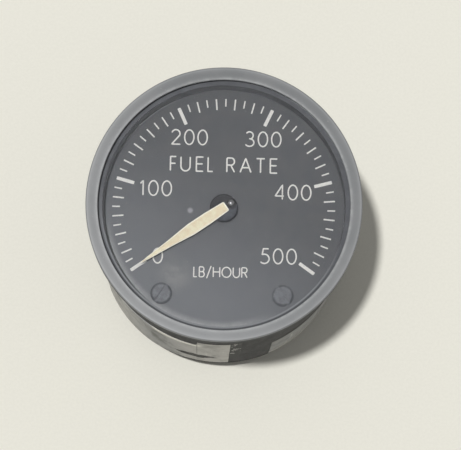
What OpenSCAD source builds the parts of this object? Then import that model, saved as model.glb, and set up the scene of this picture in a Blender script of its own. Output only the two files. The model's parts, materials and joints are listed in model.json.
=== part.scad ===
// Round panel fuel-rate gauge with a 2 inch clamp-mounted can, standing face up.
// +Z is the dial's outward normal and +Y points to the top of the dial.
// The origin is on the gauge's axis, at the open end of the rear receptacle.
// All sizes are in millimetres and degrees.

/* [Case] */
// Outer diameter of the case barrel
case_d = 50.8; // [50:0.1:54]
// Wall of the drawn case
case_wall = 0.9; // [0.7:0.05:1.1]
// Length of the barrel from its rear rim to the bezel
barrel_len = 56.9; // [55:0.1:66]
// Rounding of the rear rim
rim_r = 0.4; // [0.1:0.05:0.6]
// How far the case's front flange stands out beyond the barrel
flange_out = 0.3; // [0.2:0.05:0.6]
// Depth of the groove behind that flange, for the bezel's rolled edge
neck_in = 0.35; // [0.2:0.05:0.4]
// Thickness of the case's front flange
flange_t = 0.4; // [0.3:0.05:0.8]
// Depth of the rear cover inside the rear rim
rear_recess = 3.6; // [3.4:0.1:4.6]

/* [Bezel and glass] */
// Width of the bezel's front face
bezel_face_w = 2.25; // [1.9:0.05:2.6]
// Wall of the bezel's skirt
bezel_wall = 0.55; // [0.4:0.05:1]
// Radial gap between the bezel and what it holds
bezel_gap = 0.05; // [0.02:0.01:0.1]
// Thickness of the edge rolled in behind the case flange
roll_t = 0.5; // [0.3:0.05:0.8]
// Thickness of the front lip at its inner edge
lip_t = 0.6; // [0.4:0.05:1]
// How far the face is dished towards the glass
face_dish = 1.0; // [0.4:0.05:1.2]
// Rounding of the bezel's outer edges
bezel_edge_r = 0.3; // [0.1:0.05:0.5]
// Thickness of the cover glass
glass_t = 1.4; // [1:0.05:2.2]
// Thickness of the gasket's legs
gasket_t = 0.2; // [0.1:0.05:0.4]
// Thickness of the gasket's web round the glass edge
gasket_web = 0.7; // [0.4:0.05:0.8]
// Distance from the dial to the glass
spacer_h = 4.6; // [3.2:0.1:5]
// Wall of the dark spacer ring
spacer_w = 1.1; // [0.6:0.05:1.3]
// Radial gap of the rings and plates in the case
ring_gap = 0.15; // [0.05:0.01:0.2]

/* [Dial and pointer] */
// Thickness of the dial plate
dial_t = 0.8; // [0.5:0.1:1.2]
// Radius of the dial's centre hole
dial_hole_r = 1.6; // [1.4:0.05:2]
// Distance of the dial screws from the spacer ring
dial_screw_in = 2.95; // [2.4:0.05:3.2]
// Angle of the dial screws on each side of the dial's foot
dial_screw_angle = 35; // [30:1:40]
// Head radius of a dial screw
dial_head_r = 2.05; // [1.6:0.05:2.2]
// Head height of a dial screw
dial_head_h = 0.8; // [0.5:0.05:1]
// Thread radius of a dial screw
dial_thread_r = 0.9; // [0.6:0.05:1.1]
// Direction of the scale's zero mark, counter-clockwise from +X
zero_angle = 215; // [210:1:220]
// Sweep from the zero mark to the full mark
scale_sweep = 250; // [240:1:260]
// How far the stops let the pointer pass each end mark
over_travel = 3; // [1:0.5:5]
// Length of the pointer from the pivot to its tip
pointer_len = 19.2; // [18.6:0.1:20.4]
// Length of the blade behind the pivot
blade_tail = 0.6; // [0.3:0.1:1.2]
// Width of the blade at its blunt rear end
blade_root_w = 2.0; // [1.4:0.1:2.6]
// Greatest width of the blade
blade_belly_w = 2.4; // [1.8:0.1:3]
// Distance from the pivot to the start of the widest stretch
blade_belly_x = 3.8; // [3:0.1:4.6]
// Length of the widest stretch
blade_belly_len = 3.8; // [2:0.1:5]
// Width of the blade halfway down its taper
blade_waist_w = 1.35; // [1.1:0.05:1.7]
// Width of the blade where the point starts
blade_tip_w = 0.6; // [0.4:0.05:0.8]
// Length of the point
blade_tip_len = 1.7; // [1:0.1:2.4]
// Thickness of the blade
blade_t = 0.3; // [0.2:0.05:0.5]
// Width of the flat at the very tip
blade_nose_w = 0.12; // [0.06:0.02:0.2]
// Radius of the hub disc under the blade
hub_r = 2.7; // [2.2:0.1:3.4]
// Thickness of the hub disc
hub_t = 0.7; // [0.5:0.05:0.9]
// Radius of the hub's collar
hub_collar_r = 1.2; // [0.9:0.05:1.5]
// Height of the hub's collar above the dial's clearance
hub_collar_h = 0.4; // [0.2:0.05:0.6]
// Clearance between the hub's collar and the dial
hub_lift = 0.3; // [0.2:0.05:0.5]
// Distance of the balance rivet behind the blade's end
rivet_back = 1.1; // [1:0.05:1.3]
// Head radius of the balance rivet
rivet_r = 0.8; // [0.4:0.05:0.9]
// Head height of the balance rivet
rivet_h = 0.55; // [0.3:0.05:0.7]
// Shank radius of the balance rivet
rivet_shank_r = 0.3; // [0.2:0.05:0.35]

/* [Movement frame] */
// Thickness of the front plate
plate_t = 2.0; // [1.6:0.1:2.6]
// Thickness of the seat ring soldered into the case
seat_t = 2.5; // [2:0.1:3]
// Width of the seat ring
seat_w = 4.3; // [4:0.1:4.6]
// Distance of the frame screws from the case's inner wall
frame_screw_in = 2.3; // [2.1:0.1:2.5]
// Head radius of the countersunk screws
csk_r = 1.8; // [1.5:0.05:2]
// Head height of the countersunk screws
csk_h = 0.9; // [0.6:0.05:1.1]
// Thread radius of the countersunk screws
csk_thread_r = 0.9; // [0.6:0.05:1]
// Length of the pillars between the front plate and the pole cup
pillar_len = 8.0; // [7.8:0.1:10]
// Radius of the pillars
pillar_r = 1.6; // [1.4:0.05:1.7]
// Radius of the spigot at a pillar's rear end
pillar_spigot_r = 0.8; // [0.5:0.05:1]
// Length of the spigot at a pillar's rear end
pillar_spigot_len = 2.0; // [1:0.1:3]

/* [Magnet system] */
// Inner radius of the pole cup
cup_in_r = 12.9; // [12.8:0.1:13.4]
// Wall of the pole cup
cup_wall = 3.6; // [3.4:0.1:3.8]
// Height of the pole cup
cup_h = 16.1; // [15.5:0.1:19]
// Thickness of the pole cup's base
cup_base_t = 2.5; // [2:0.1:3]
// Inner radius of the ring core
core_in_r = 7.6; // [7.5:0.05:7.8]
// Radial width of the ring core
core_w = 3.4; // [3:0.05:3.5]
// Height of the ring core
core_h = 6.0; // [5:0.1:6.2]
// Distance from the cup's rim down to the ring core
core_drop = 1.0; // [0.8:0.1:1.4]
// Width of the split in the ring core
core_split = 1.2; // [0.6:0.1:2]
// Angle that the magnet covers
magnet_angle = 50; // [40:1:54]
// Angle of a core screw on each side of the foot
core_screw_angle = 14; // [12:1:16]
// Thread radius of a core screw
core_thread_r = 0.7; // [0.5:0.05:0.9]
// Head radius of a core screw
core_head_r = 1.3; // [1:0.05:1.5]
// Head height of a core screw
core_head_h = 0.8; // [0.5:0.05:0.9]

/* [Moving coil] */
// Clearance between the coil's former and the ring core
coil_gap = 0.5; // [0.45:0.01:0.55]
// Thickness of the former
former_t = 0.2; // [0.1:0.01:0.22]
// Thickness of the winding
winding_t = 0.7; // [0.5:0.01:0.72]
// Width of the winding
winding_w = 3.6; // [2.5:0.1:3.8]
// Width of the former, over its edges
former_w = 4.0; // [3.9:0.1:4.2]
// Thickness of the arms that hold the coil
coil_arm_t = 0.5; // [0.3:0.05:0.7]
// Width of the arms that hold the coil
coil_arm_w = 2.6; // [2:0.1:3]
// Radius of the staff
staff_r = 0.75; // [0.6:0.05:0.9]
// Radius of the staff's front journal
journal_r = 0.4; // [0.3:0.05:0.5]
// Radius of the staff's rear pivot
pivot_r = 0.2; // [0.15:0.01:0.25]
// Length of the rear pivot
pivot_len = 1.5; // [1.2:0.1:1.8]
// Running clearance of the pivots
pivot_gap = 0.03; // [0.02:0.01:0.05]
// Length of a balance arm from the axis
balance_arm_len = 8.5; // [8:0.1:9]
// Length of the stop finger from the axis
finger_len = 10.7; // [10.6:0.1:11.2]
// Width of the balance arms and the finger
finger_w = 0.8; // [0.6:0.05:0.9]
// Thickness of the balance arms
finger_t = 0.4; // [0.3:0.05:0.5]
// Gap between the coil arm and the balance arms
balance_lift = 0.2; // [0.1:0.05:0.3]
// Radius of a balance weight
weight_r = 0.8; // [0.6:0.05:0.9]
// Length of a balance weight
weight_len = 1.6; // [1:0.1:2]
// Distance of a balance weight's centre from the axis
weight_pos = 6.8; // [6:0.1:7.2]
// Distance of the stop pins from the axis
stop_pos = 10.0; // [9.8:0.1:10.2]
// Radius of a stop pin
stop_r = 0.6; // [0.4:0.05:0.7]
// Clearance left between the finger and a stop pin
stop_gap = 0.1; // [0.05:0.01:0.15]

/* [Hairsprings and bearings] */
// Number of turns of a hairspring
hair_turns = 4; // [3:1:5]
// Thickness of a hairspring's strip
hair_t = 0.15; // [0.1:0.01:0.2]
// Height of a hairspring's strip
hair_h = 0.8; // [0.5:0.05:1]
// Outer radius of the front hairspring
hair_front_r = 7.0; // [6:0.1:7.2]
// Outer radius of the rear hairspring
hair_rear_r = 5.6; // [5:0.1:5.8]
// Outer radius of the collets on the staff
collet_r = 1.2; // [1:0.05:1.3]
// Height of the collets
collet_h = 1.6; // [1.2:0.1:1.8]
// Gap between a collet and the first turn
collet_gap = 0.15; // [0.1:0.01:0.25]
// Radius of the bearing bushes
bush_r = 3.0; // [2.6:0.1:3.2]
// Extra radius of a bush's collar
bush_collar = 0.9; // [0.6:0.1:1]
// Thickness of a bush's collar
bush_collar_t = 0.5; // [0.4:0.05:0.7]
// Distance from the front plate down to the front bush's end
bush_front_len = 3.3; // [3.2:0.1:3.6]
// Distance between the rear hairspring and the coil arm
hair_rear_gap = 0.6; // [0.5:0.05:0.8]
// Running clearance of the spring arms on their bushes
arm_gap = 0.05; // [0.03:0.01:0.08]
// Thickness of the spring arms
arm_t = 0.8; // [0.5:0.05:0.9]
// Width of the spring arms' rings
arm_ring_w = 1.8; // [1.2:0.1:2]
// Width of the spring arms' levers
arm_lever_w = 1.8; // [1.2:0.1:2]
// Length of the front arm's lever from the axis
zero_lever_len = 11.5; // [10:0.1:12]
// Length of the rear arm's lever from the axis
rear_lever_len = 9.6; // [8:0.1:10.5]
// Radius of the stud that holds a hairspring's outer end
stud_r = 0.5; // [0.4:0.05:0.6]
// Gap between a spring arm and its bush's collar
arm_lift = 0.2; // [0.1:0.05:0.3]
// Distance between a hairspring and the near side of its arm
hair_drop = 1.4; // [1.2:0.1:1.6]
// Radius of a jewel
jewel_r = 1.1; // [0.8:0.05:1.3]
// Height of a jewel
jewel_h = 0.9; // [0.6:0.05:1]
// Radius of the rear jewel screw
jewel_screw_r = 1.5; // [1.4:0.05:1.7]
// Height of the rear lock nut
lock_nut_h = 1.2; // [0.8:0.1:1.5]
// Radius of the rear lock nut over its corners
lock_nut_r = 2.8; // [2.4:0.1:3.2]
// Length of the jewel screw behind its lock nut
jewel_screw_tail = 0.8; // [0.5:0.1:1.2]

/* [Circuit boards] */
// Gap between the round circuit boards and the case
board_edge_gap = 2.0; // [1:0.1:2.2]
// Thickness of the circuit boards
board_t = 1.6; // [1:0.1:2]
// Distance from the pole cup to the driver board
board_gap_front = 2.8; // [2.4:0.1:4]
// Distance between the two boards
board_gap_rear = 5.8; // [5.2:0.1:7]
// Distance of the board rods from the axis
rod_pos = 14.2; // [14:0.1:14.6]
// Thread radius of the board rods
rod_r = 1.0; // [0.8:0.05:1.2]
// Depth of the board rods in the pole cup
rod_depth = 4.0; // [2:0.1:6]
// Wall of the tubular board spacers
spacer_tube_w = 1.0; // [0.6:0.05:1.2]
// Radius of the rod nuts over their corners
rod_nut_r = 2.3; // [2:0.05:2.6]
// Height of the rod nuts
rod_nut_h = 1.6; // [1.2:0.1:1.8]
// Length of the rods behind their nuts
rod_tail = 0.6; // [0.4:0.1:1]
// Radius of the transistor cans
transistor_r = 4.1; // [3:0.1:4.3]
// Rim beyond a transistor can
transistor_rim = 0.5; // [0.3:0.05:0.6]
// Height of the transistor cans
transistor_h = 4.6; // [3.6:0.1:5]
// Radius of the tantalum capacitors
capacitor_r = 1.4; // [1:0.1:1.5]
// Height of the tantalum capacitors
capacitor_h = 12.0; // [8:0.5:15]
// Radius of a resistor
resistor_r = 1.1; // [0.7:0.05:1.2]
// Length of a resistor's body
resistor_len = 6.2; // [5:0.1:6.5]
// Spacing of the resistors
resistor_pitch = 3.2; // [2.9:0.1:3.3]
// Number of resistors
resistor_count = 4; // [2:1:4]
// Radius of component leads and wires
wire_r = 0.35; // [0.25:0.05:0.45]
// Side of the square trimmers
trimmer_w = 7.0; // [6:0.1:7.4]
// Height of the trimmers
trimmer_h = 3.2; // [2.6:0.1:4]
// Distance of the trimmers from the axis
trimmer_pos = 12.5; // [12:0.1:13]
// Radius of a trimmer's adjusting screw
trimmer_screw_r = 1.3; // [1:0.05:1.5]
// Depth of a trimmer's adjusting screw
trimmer_screw_h = 1.0; // [0.7:0.1:1.3]

/* [Rear cover and receptacle] */
// Thickness of the rear cover
cover_t = 2.0; // [1.6:0.1:2.4]
// Thickness of the rear cover's gasket
cover_gasket_t = 0.4; // [0.3:0.05:0.6]
// Height of the threaded ring in the case
rear_ring_h = 2.6; // [2.2:0.1:3]
// Width of the threaded ring in the case
rear_ring_w = 3.6; // [3.4:0.1:4]
// Number of rear cover screws
cover_screw_count = 6; // [4:2:8]
// Distance of the cover screws from the case's inner wall
cover_screw_in = 2.1; // [2:0.05:2.2]
// Head radius of a cover screw
cover_head_r = 1.8; // [1.5:0.05:1.85]
// Head height of a cover screw
cover_head_h = 1.3; // [1:0.1:1.5]
// Thread radius of a cover screw
cover_thread_r = 1.0; // [0.8:0.05:1.1]
// How far the receptacle stands out behind the case
receptacle_reach = 8.8; // [8:0.1:10.5]
// Outer diameter of the receptacle's barrel
receptacle_d = 19.05; // [18.6:0.05:20]
// Wall of the receptacle's barrel
receptacle_wall = 1.6; // [1.3:0.05:1.8]
// Side of the receptacle's square flange
receptacle_flange_w = 23.8; // [23:0.1:24.5]
// Thickness of the receptacle's flange
receptacle_flange_t = 1.6; // [1.2:0.1:1.8]
// Corner radius of the receptacle's flange
receptacle_corner_r = 2.6; // [2:0.1:3]
// Thickness of the receptacle's gasket
receptacle_gasket_t = 0.8; // [0.5:0.05:1]
// Spacing of the receptacle's screws
receptacle_pitch = 18.3; // [18:0.1:18.6]
// Thread radius of the receptacle's screws
receptacle_thread_r = 1.2; // [1:0.05:1.3]
// Head radius of the receptacle's screws
receptacle_head_r = 2.1; // [1.8:0.05:2.2]
// Head height of the receptacle's screws
receptacle_head_h = 1.3; // [1:0.1:1.5]
// Length of the receptacle's spigot inside the cover
receptacle_spigot = 0.8; // [0.5:0.1:1.5]
// Thickness of the insulating insert
insert_t = 3.0; // [2.4:0.1:3.4]
// Depth of the free space in front of the contact pins
socket_free = 4.6; // [4.4:0.1:5]
// Length of the contact pins in front of the insert
pin_len = 5.7; // [5:0.1:6.2]
// Number of contact pins round the centre one
pin_count = 7; // [5:1:8]
// Radius of the circle of contact pins
pin_circle_r = 4.9; // [4.4:0.1:5.2]
// Radius of a contact pin
pin_r = 0.5; // [0.4:0.05:0.6]
// Radius of a contact's solder cup
solder_cup_r = 0.8; // [0.65:0.05:0.9]
// Length of a contact's solder cup
solder_cup_len = 2.2; // [1.5:0.1:2.4]
// Width of a keyway in the receptacle's barrel
keyway_w = 1.2; // [0.8:0.1:1.6]
// Width of the master keyway
master_keyway_w = 2.4; // [2:0.1:3]
// Depth of the keyways
keyway_depth = 0.6; // [0.3:0.05:0.8]
// Radius of a bayonet stud
bayonet_r = 0.8; // [0.6:0.05:1]
// How far a bayonet stud stands out of the barrel
bayonet_out = 1.1; // [0.8:0.1:1.4]
// Distance of the bayonet studs from the barrel's end
bayonet_z = 3.4; // [2.6:0.1:4]
// Distance of the fill plug from the axis
fill_pos = 17.8; // [17.4:0.1:18]
// Angle of the fill plug, counter-clockwise from +X
fill_angle = 120; // [112:1:124]
// Head radius of the fill plug over its corners
fill_head_r = 2.6; // [2:0.1:2.8]
// Head height of the fill plug
fill_head_h = 2.0; // [1.5:0.1:2.5]
// Thread radius of the fill plug
fill_thread_r = 1.5; // [1.2:0.1:1.6]
// Clearance of pressed, screwed and soldered pieces in their holes
seat_gap = 0.02; // [0.01:0.01:0.04]
// Width of a driver slot as a share of the screw head's radius
slot_share = 0.28; // [0.2:0.01:0.35]

/* [Hidden] */
$fn = 72;
eps = 0.01;
cut = 1;
case_r = case_d / 2;
case_in_r = case_r - case_wall;
flange_r = case_r + flange_out;
bezel_in_r = flange_r + bezel_gap;
bezel_r = bezel_in_r + bezel_wall;
bezel_open_r = bezel_r - bezel_face_w;
neck_r = case_r - neck_in;
roll_r = neck_r + bezel_gap;
roll_ramp = roll_t / 2;
glass_r = flange_r - gasket_web;
ring_r = case_in_r - ring_gap;
spacer_in_r = ring_r - spacer_w;
dial_screw_pos = spacer_in_r - dial_screw_in;
// Heights from the rear rim to the front
rim_z = receptacle_reach;
panel_z = rim_z + barrel_len;
flange_z = panel_z + roll_t;
gasket_z = flange_z + flange_t;
glass_z = gasket_z + gasket_t;
glass_top = glass_z + glass_t;
lip_z = glass_top + gasket_t;
lip_top = lip_z + lip_t;
top_z = lip_top + face_dish;
dial_top = glass_z - spacer_h;
dial_z = dial_top - dial_t;
plate_z = dial_z - plate_t;
seat_z = plate_z - seat_t;
seat_in_r = case_in_r - seat_w;
frame_screw_pos = case_in_r - frame_screw_in;
// Magnet system, hung below the front plate on its pillars
cup_top = plate_z - pillar_len;
cup_z = cup_top - cup_h;
cup_floor = cup_z + cup_base_t;
cup_r = cup_in_r + cup_wall;
pillar_pos = cup_in_r + cup_wall / 2;
core_top = cup_top - core_drop;
core_z = core_top - core_h;
core_r = core_in_r + core_w;
core_mid_r = core_in_r + core_w / 2;
// Coil round the ring core
coil_x0 = core_in_r - coil_gap;
coil_x1 = core_r + coil_gap;
coil_z0 = core_z - coil_gap;
coil_z1 = core_top + coil_gap;
coil_wall = former_t + winding_t;
coil_top = coil_z1 + coil_wall;
coil_bottom = coil_z0 - coil_wall;
balance_z = coil_top + coil_arm_t + balance_lift;
// Bearings, spring arms and hairsprings
bush_front_z = plate_z - bush_front_len;
zero_arm_z = bush_front_z + bush_collar_t + arm_lift;
hair_front_z = zero_arm_z - hair_drop - hair_h;
hair_rear_z = coil_bottom - coil_arm_t - hair_rear_gap;
rear_arm_z = hair_rear_z - hair_h - hair_drop - arm_t;
bush_rear_top = rear_arm_z + arm_t + arm_lift + bush_collar_t;
hair_in_r = collet_r + collet_gap;
staff_z = bush_rear_top - bush_collar_t;
journal_z = bush_front_z - arm_lift;
pivot_tip_z = staff_z - pivot_len;
jewel_floor_z = pivot_tip_z - pivot_gap;
jewel_screw_top = jewel_floor_z + jewel_h;
lock_nut_z = cup_z - lock_nut_h;
// Pointer stack
hub_z = dial_top + hub_lift;
hub_disc_z = hub_z + hub_collar_h;
blade_z = hub_disc_z + hub_t;
blade_belly_end = blade_belly_x + blade_belly_len;
blade_tip_x = pointer_len - blade_tip_len;
blade_waist_x = (blade_belly_end + blade_tip_x) / 2;
rivet_pos = blade_tail + rivet_back;
// Stops, met by the finger opposite the pointer
stop_half = asin((finger_w / 2 + stop_r + stop_gap) / stop_pos);
finger_rest = zero_angle - 180;
stop_start = finger_rest + over_travel + stop_half;
stop_end = finger_rest - scale_sweep - over_travel - stop_half;
stop_pin_end = balance_z - balance_lift;
// Boards
board_r = case_in_r - board_edge_gap;
capacitor_pos = (cup_r + board_r) / 2;
lead_pos = (cup_r + seat_in_r) / 2;
driver_top = cup_z - board_gap_front;
driver_z = driver_top - board_t;
power_top = driver_z - board_gap_rear;
power_z = power_top - board_t;
rod_end = power_z - rod_nut_h - rod_tail;
// Rear end
cover_z = rim_z + rear_recess;
cover_top = cover_z + cover_t;
rear_ring_z = cover_top + cover_gasket_t;
rear_ring_top = rear_ring_z + rear_ring_h;
rear_ring_in_r = case_in_r - rear_ring_w;
cover_r = case_in_r - ring_gap;
cover_screw_pos = case_in_r - cover_screw_in;
recep_r = receptacle_d / 2;
recep_in_r = recep_r - receptacle_wall;
recep_gasket_z = cover_z - receptacle_gasket_t;
recep_flange_z = recep_gasket_z - receptacle_flange_t;
recep_spigot_r = recep_r - seat_gap;
recep_top = cover_top + receptacle_spigot;
pin_tip_z = socket_free;
insert_z = pin_tip_z + pin_len;
insert_top = insert_z + insert_t;
recep_hole = receptacle_pitch / 2;
solder_top = insert_top + solder_cup_len;
trimmer_z = power_z - trimmer_h;
// Places round the axis
frame_angles = [90, 210, 330];
pillar_angles = [30, 150, 270];
rod_angles = [90, 210, 330];
foot_angle = 270;
lever_angle = 90;
dial_screw_angles = [foot_angle - dial_screw_angle, foot_angle + dial_screw_angle];
core_screw_angles = [foot_angle - core_screw_angle, foot_angle + core_screw_angle];
capacitor_angles = [55, 125, 245];
transistor_angles = [55, 125, 270];
transistor_pos = 12.4;
board_lead_angles = [10, 170, 190, 350];
movement_lead_angles = [18, 162];
bayonet_angles = [90, 210, 330];
keyway_angles = [55, 125, 235, 305];
hair_steps = 30;

// A tube or ring from z0, of height h, between two radii
module ring(out_r, in_r, z0, h) {
    translate([0, 0, z0])
        difference() {
            cylinder(r = out_r, h = h);
            translate([0, 0, -cut])
                cylinder(r = in_r, h = h + 2 * cut);
        }
}

// A solid disc or rod from z0
module rod(r, z0, h) {
    translate([0, 0, z0])
        cylinder(r = r, h = h);
}

// Copies of the children at a distance from the axis, at each angle
module around(angles, pos) {
    for (a = angles)
        rotate([0, 0, a])
            translate([pos, 0, 0])
                children();
}

// Slotted screw with its seat at z = 0, the head above and the thread below
module slotted_screw(head_r, head_h, thread_r, thread_len) {
    difference() {
        union() {
            cylinder(r = head_r, h = head_h * 0.6);
            translate([0, 0, head_h * 0.6])
                cylinder(r1 = head_r, r2 = head_r * 0.8, h = head_h * 0.4);
            translate([0, 0, -thread_len])
                cylinder(r = thread_r, h = thread_len + eps);
        }
        translate([-head_r - cut, -head_r * slot_share / 2, head_h / 2])
            cube([2 * (head_r + cut), head_r * slot_share, head_h]);
    }
}

// Countersunk slotted screw with the top of its head at z = 0
module flush_screw(thread_len) {
    difference() {
        union() {
            translate([0, 0, -csk_h])
                cylinder(r1 = csk_thread_r, r2 = csk_r, h = csk_h);
            translate([0, 0, -thread_len])
                cylinder(r = csk_thread_r, h = thread_len - csk_h + eps);
        }
        translate([-csk_r - cut, -csk_r * slot_share / 2, -csk_h * 0.4])
            cube([2 * (csk_r + cut), csk_r * slot_share, csk_h]);
    }
}

// Countersunk hole for flush_screw, with its mouth at z = 0
module flush_hole(depth) {
    translate([0, 0, -csk_h])
        cylinder(r1 = csk_thread_r + seat_gap, r2 = csk_r + seat_gap, h = csk_h + eps);
    translate([0, 0, -depth - cut])
        cylinder(r = csk_thread_r + seat_gap, h = depth + cut);
}

module bezel_ring() {
    arc_steps = 6;
    corner = [for (i = [0:arc_steps])
        [bezel_r - bezel_edge_r + bezel_edge_r * cos(90 * i / arc_steps),
         top_z - bezel_edge_r + bezel_edge_r * sin(90 * i / arc_steps)]];
    nose = lip_t / 3;
    color([0.52, 0.53, 0.54])
        rotate_extrude()
            polygon(concat(
                [[roll_r, panel_z + roll_ramp],
                 [case_r + bezel_gap, panel_z],
                 [bezel_r - bezel_edge_r, panel_z],
                 [bezel_r, panel_z + bezel_edge_r]],
                corner,
                [[bezel_open_r + nose, lip_top],
                 [bezel_open_r, lip_top - nose],
                 [bezel_open_r, lip_z],
                 [bezel_in_r, lip_z],
                 [bezel_in_r, flange_z],
                 [roll_r, flange_z]]));
}

module cover_glass() {
    color([0.8, 0.86, 0.88, 0.35])
        rod(glass_r, glass_z, glass_t);
}

// U-section rubber channel round the edge of the glass
module glass_gasket() {
    color([0.08, 0.08, 0.08])
        rotate_extrude()
            polygon([
                [case_in_r, gasket_z],
                [flange_r, gasket_z],
                [flange_r, lip_z],
                [case_in_r, lip_z],
                [case_in_r, glass_top],
                [glass_r, glass_top],
                [glass_r, glass_z],
                [case_in_r, glass_z]]);
}

module spacer_ring() {
    color([0.2, 0.21, 0.22])
        ring(ring_r, spacer_in_r, dial_top, spacer_h);
}

module dial_plate() {
    color([0.40, 0.42, 0.44])
        difference() {
            rod(ring_r, dial_z, dial_t);
            rod(dial_hole_r, dial_z - cut, dial_t + 2 * cut);
            around(dial_screw_angles, dial_screw_pos)
                rod(dial_thread_r + seat_gap, dial_z - cut, dial_t + 2 * cut);
        }
}

module dial_screws() {
    color([0.06, 0.06, 0.06])
        around(dial_screw_angles, dial_screw_pos)
            translate([0, 0, dial_top])
                slotted_screw(dial_head_r, dial_head_h, dial_thread_r, dial_t + plate_t * 0.8);
}

// Lance blade, blunt at the pivot, widest a third of the way out and narrow at the tip
module pointer_blade() {
    upper = [
        [-blade_tail, blade_root_w / 2],
        [blade_belly_x, blade_belly_w / 2],
        [blade_belly_end, blade_belly_w / 2],
        [blade_waist_x, blade_waist_w / 2],
        [blade_tip_x, blade_tip_w / 2],
        [pointer_len, blade_nose_w / 2]];
    count = len(upper);
    lower = [for (i = [count - 1:-1:0]) [upper[i][0], -upper[i][1]]];
    color([0.89, 0.85, 0.74])
        rotate([0, 0, zero_angle])
            translate([0, 0, blade_z])
                linear_extrude(height = blade_t)
                    polygon(concat(upper, lower));
}

module pointer_hub() {
    color([0.07, 0.07, 0.07])
        difference() {
            union() {
                rod(hub_collar_r, hub_z, hub_collar_h + eps);
                rod(hub_r, hub_disc_z, hub_t);
            }
            rod(journal_r + seat_gap, hub_z - cut, blade_z - hub_z + 2 * cut);
            rotate([0, 0, zero_angle])
                translate([-rivet_pos, 0, 0])
                    rod(rivet_shank_r + seat_gap, hub_disc_z - cut, hub_t + 2 * cut);
        }
}

// Small rivet with a domed head, behind the blade's end
module pointer_rivet() {
    dome_steps = 6;
    dome = [for (i = [0:dome_steps])
        [rivet_r * cos(90 * i / dome_steps), blade_z + rivet_h * sin(90 * i / dome_steps)]];
    color([0.1, 0.1, 0.1])
        rotate([0, 0, zero_angle])
            translate([-rivet_pos, 0, 0]) {
                rod(rivet_shank_r, hub_disc_z, hub_t + eps);
                rotate_extrude()
                    polygon(concat([[0, blade_z]], dome));
            }
}

// Drawn can: open barrel, rounded rear rim and a turned-out front flange with a groove behind it
module case_shell() {
    color([0.16, 0.16, 0.17])
        rotate_extrude()
            polygon([
                [case_in_r, rim_z],
                [case_r - rim_r, rim_z],
                [case_r - rim_r * 0.3, rim_z + rim_r * 0.3],
                [case_r, rim_z + rim_r],
                [case_r, panel_z],
                [neck_r, panel_z + roll_ramp],
                [neck_r, flange_z],
                [flange_r, flange_z],
                [flange_r, gasket_z],
                [case_in_r, gasket_z]]);
}

module seat_ring() {
    color([0.62, 0.6, 0.55])
        difference() {
            ring(case_in_r - seat_gap, seat_in_r, seat_z, seat_t);
            around(frame_angles, frame_screw_pos)
                rod(csk_thread_r + seat_gap, seat_z - cut, seat_t + 2 * cut);
        }
}

module front_plate() {
    color([0.72, 0.72, 0.7])
        difference() {
            rod(ring_r, plate_z, plate_t);
            rod(bush_r + seat_gap, plate_z - cut, plate_t + 2 * cut);
            around(frame_angles, frame_screw_pos)
                translate([0, 0, dial_z])
                    flush_hole(plate_t);
            around(pillar_angles, pillar_pos)
                translate([0, 0, dial_z])
                    flush_hole(plate_t);
            around(dial_screw_angles, dial_screw_pos)
                rod(dial_thread_r + seat_gap, plate_z - cut, plate_t + 2 * cut);
            around([stop_start, stop_end], stop_pos)
                rod(stop_r + seat_gap, plate_z - cut, plate_t / 2 + cut);
            around(movement_lead_angles, lead_pos)
                rod(wire_r + seat_gap, plate_z - cut, plate_t / 2 + cut);
        }
}

module frame_screws() {
    color([0.75, 0.74, 0.7])
        around(frame_angles, frame_screw_pos)
            translate([0, 0, dial_z])
                flush_screw(plate_t + seat_t * 0.9);
}

module movement_screws() {
    color([0.75, 0.74, 0.7])
        around(pillar_angles, pillar_pos)
            translate([0, 0, dial_z])
                flush_screw(plate_t + pillar_len * 0.4);
}

module movement_pillars() {
    color([0.78, 0.66, 0.36])
        around(pillar_angles, pillar_pos)
            difference() {
                union() {
                    rod(pillar_r, cup_top, pillar_len);
                    rod(pillar_spigot_r, cup_top - pillar_spigot_len, pillar_spigot_len + eps);
                }
                rod(csk_thread_r + seat_gap, plate_z - pillar_len * 0.45, pillar_len);
            }
}

// Bush that carries the front jewel and lets the zero arm turn round it
module front_bearing() {
    color([0.8, 0.68, 0.38])
        difference() {
            union() {
                rod(bush_r, bush_front_z, dial_z - bush_front_z);
                rod(bush_r + bush_collar, bush_front_z, bush_collar_t);
            }
            rod(jewel_r * 0.7, bush_front_z - cut, dial_z - bush_front_z + 2 * cut);
            rod(jewel_r + seat_gap, bush_front_z - cut, jewel_h + cut);
        }
}

module front_jewel() {
    color([0.7, 0.1, 0.2])
        ring(jewel_r, journal_r + pivot_gap, bush_front_z, jewel_h);
}

// Ring, lever and hairspring stud in one, turning round a bush
module spring_arm(z0, lever_len, stud_pos, stud_z0, stud_z1) {
    in_r = bush_r + arm_gap;
    out_r = in_r + arm_ring_w;
    difference() {
        union() {
            rod(out_r, z0, arm_t);
            translate([0, 0, z0])
                linear_extrude(height = arm_t) {
                    rotate([0, 0, lever_angle])
                        translate([0, -arm_lever_w / 2])
                            square([lever_len - arm_lever_w / 2, arm_lever_w]);
                    rotate([0, 0, lever_angle])
                        translate([lever_len - arm_lever_w / 2, 0])
                            circle(r = arm_lever_w / 2);
                    rotate([0, 0, foot_angle])
                        translate([0, -arm_lever_w / 2])
                            square([stud_pos, arm_lever_w]);
                    rotate([0, 0, foot_angle])
                        translate([stud_pos, 0])
                            circle(r = arm_lever_w / 2);
                }
            rotate([0, 0, foot_angle])
                translate([stud_pos, 0, 0])
                    rod(stud_r, stud_z0, stud_z1 - stud_z0);
        }
        rod(in_r, z0 - cut, arm_t + 2 * cut);
    }
}

module zero_arm() {
    color([0.75, 0.62, 0.33])
        spring_arm(zero_arm_z, zero_lever_len, hair_front_r + hair_t / 2 + stud_r + seat_gap,
            hair_front_z, zero_arm_z + eps);
}

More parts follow.
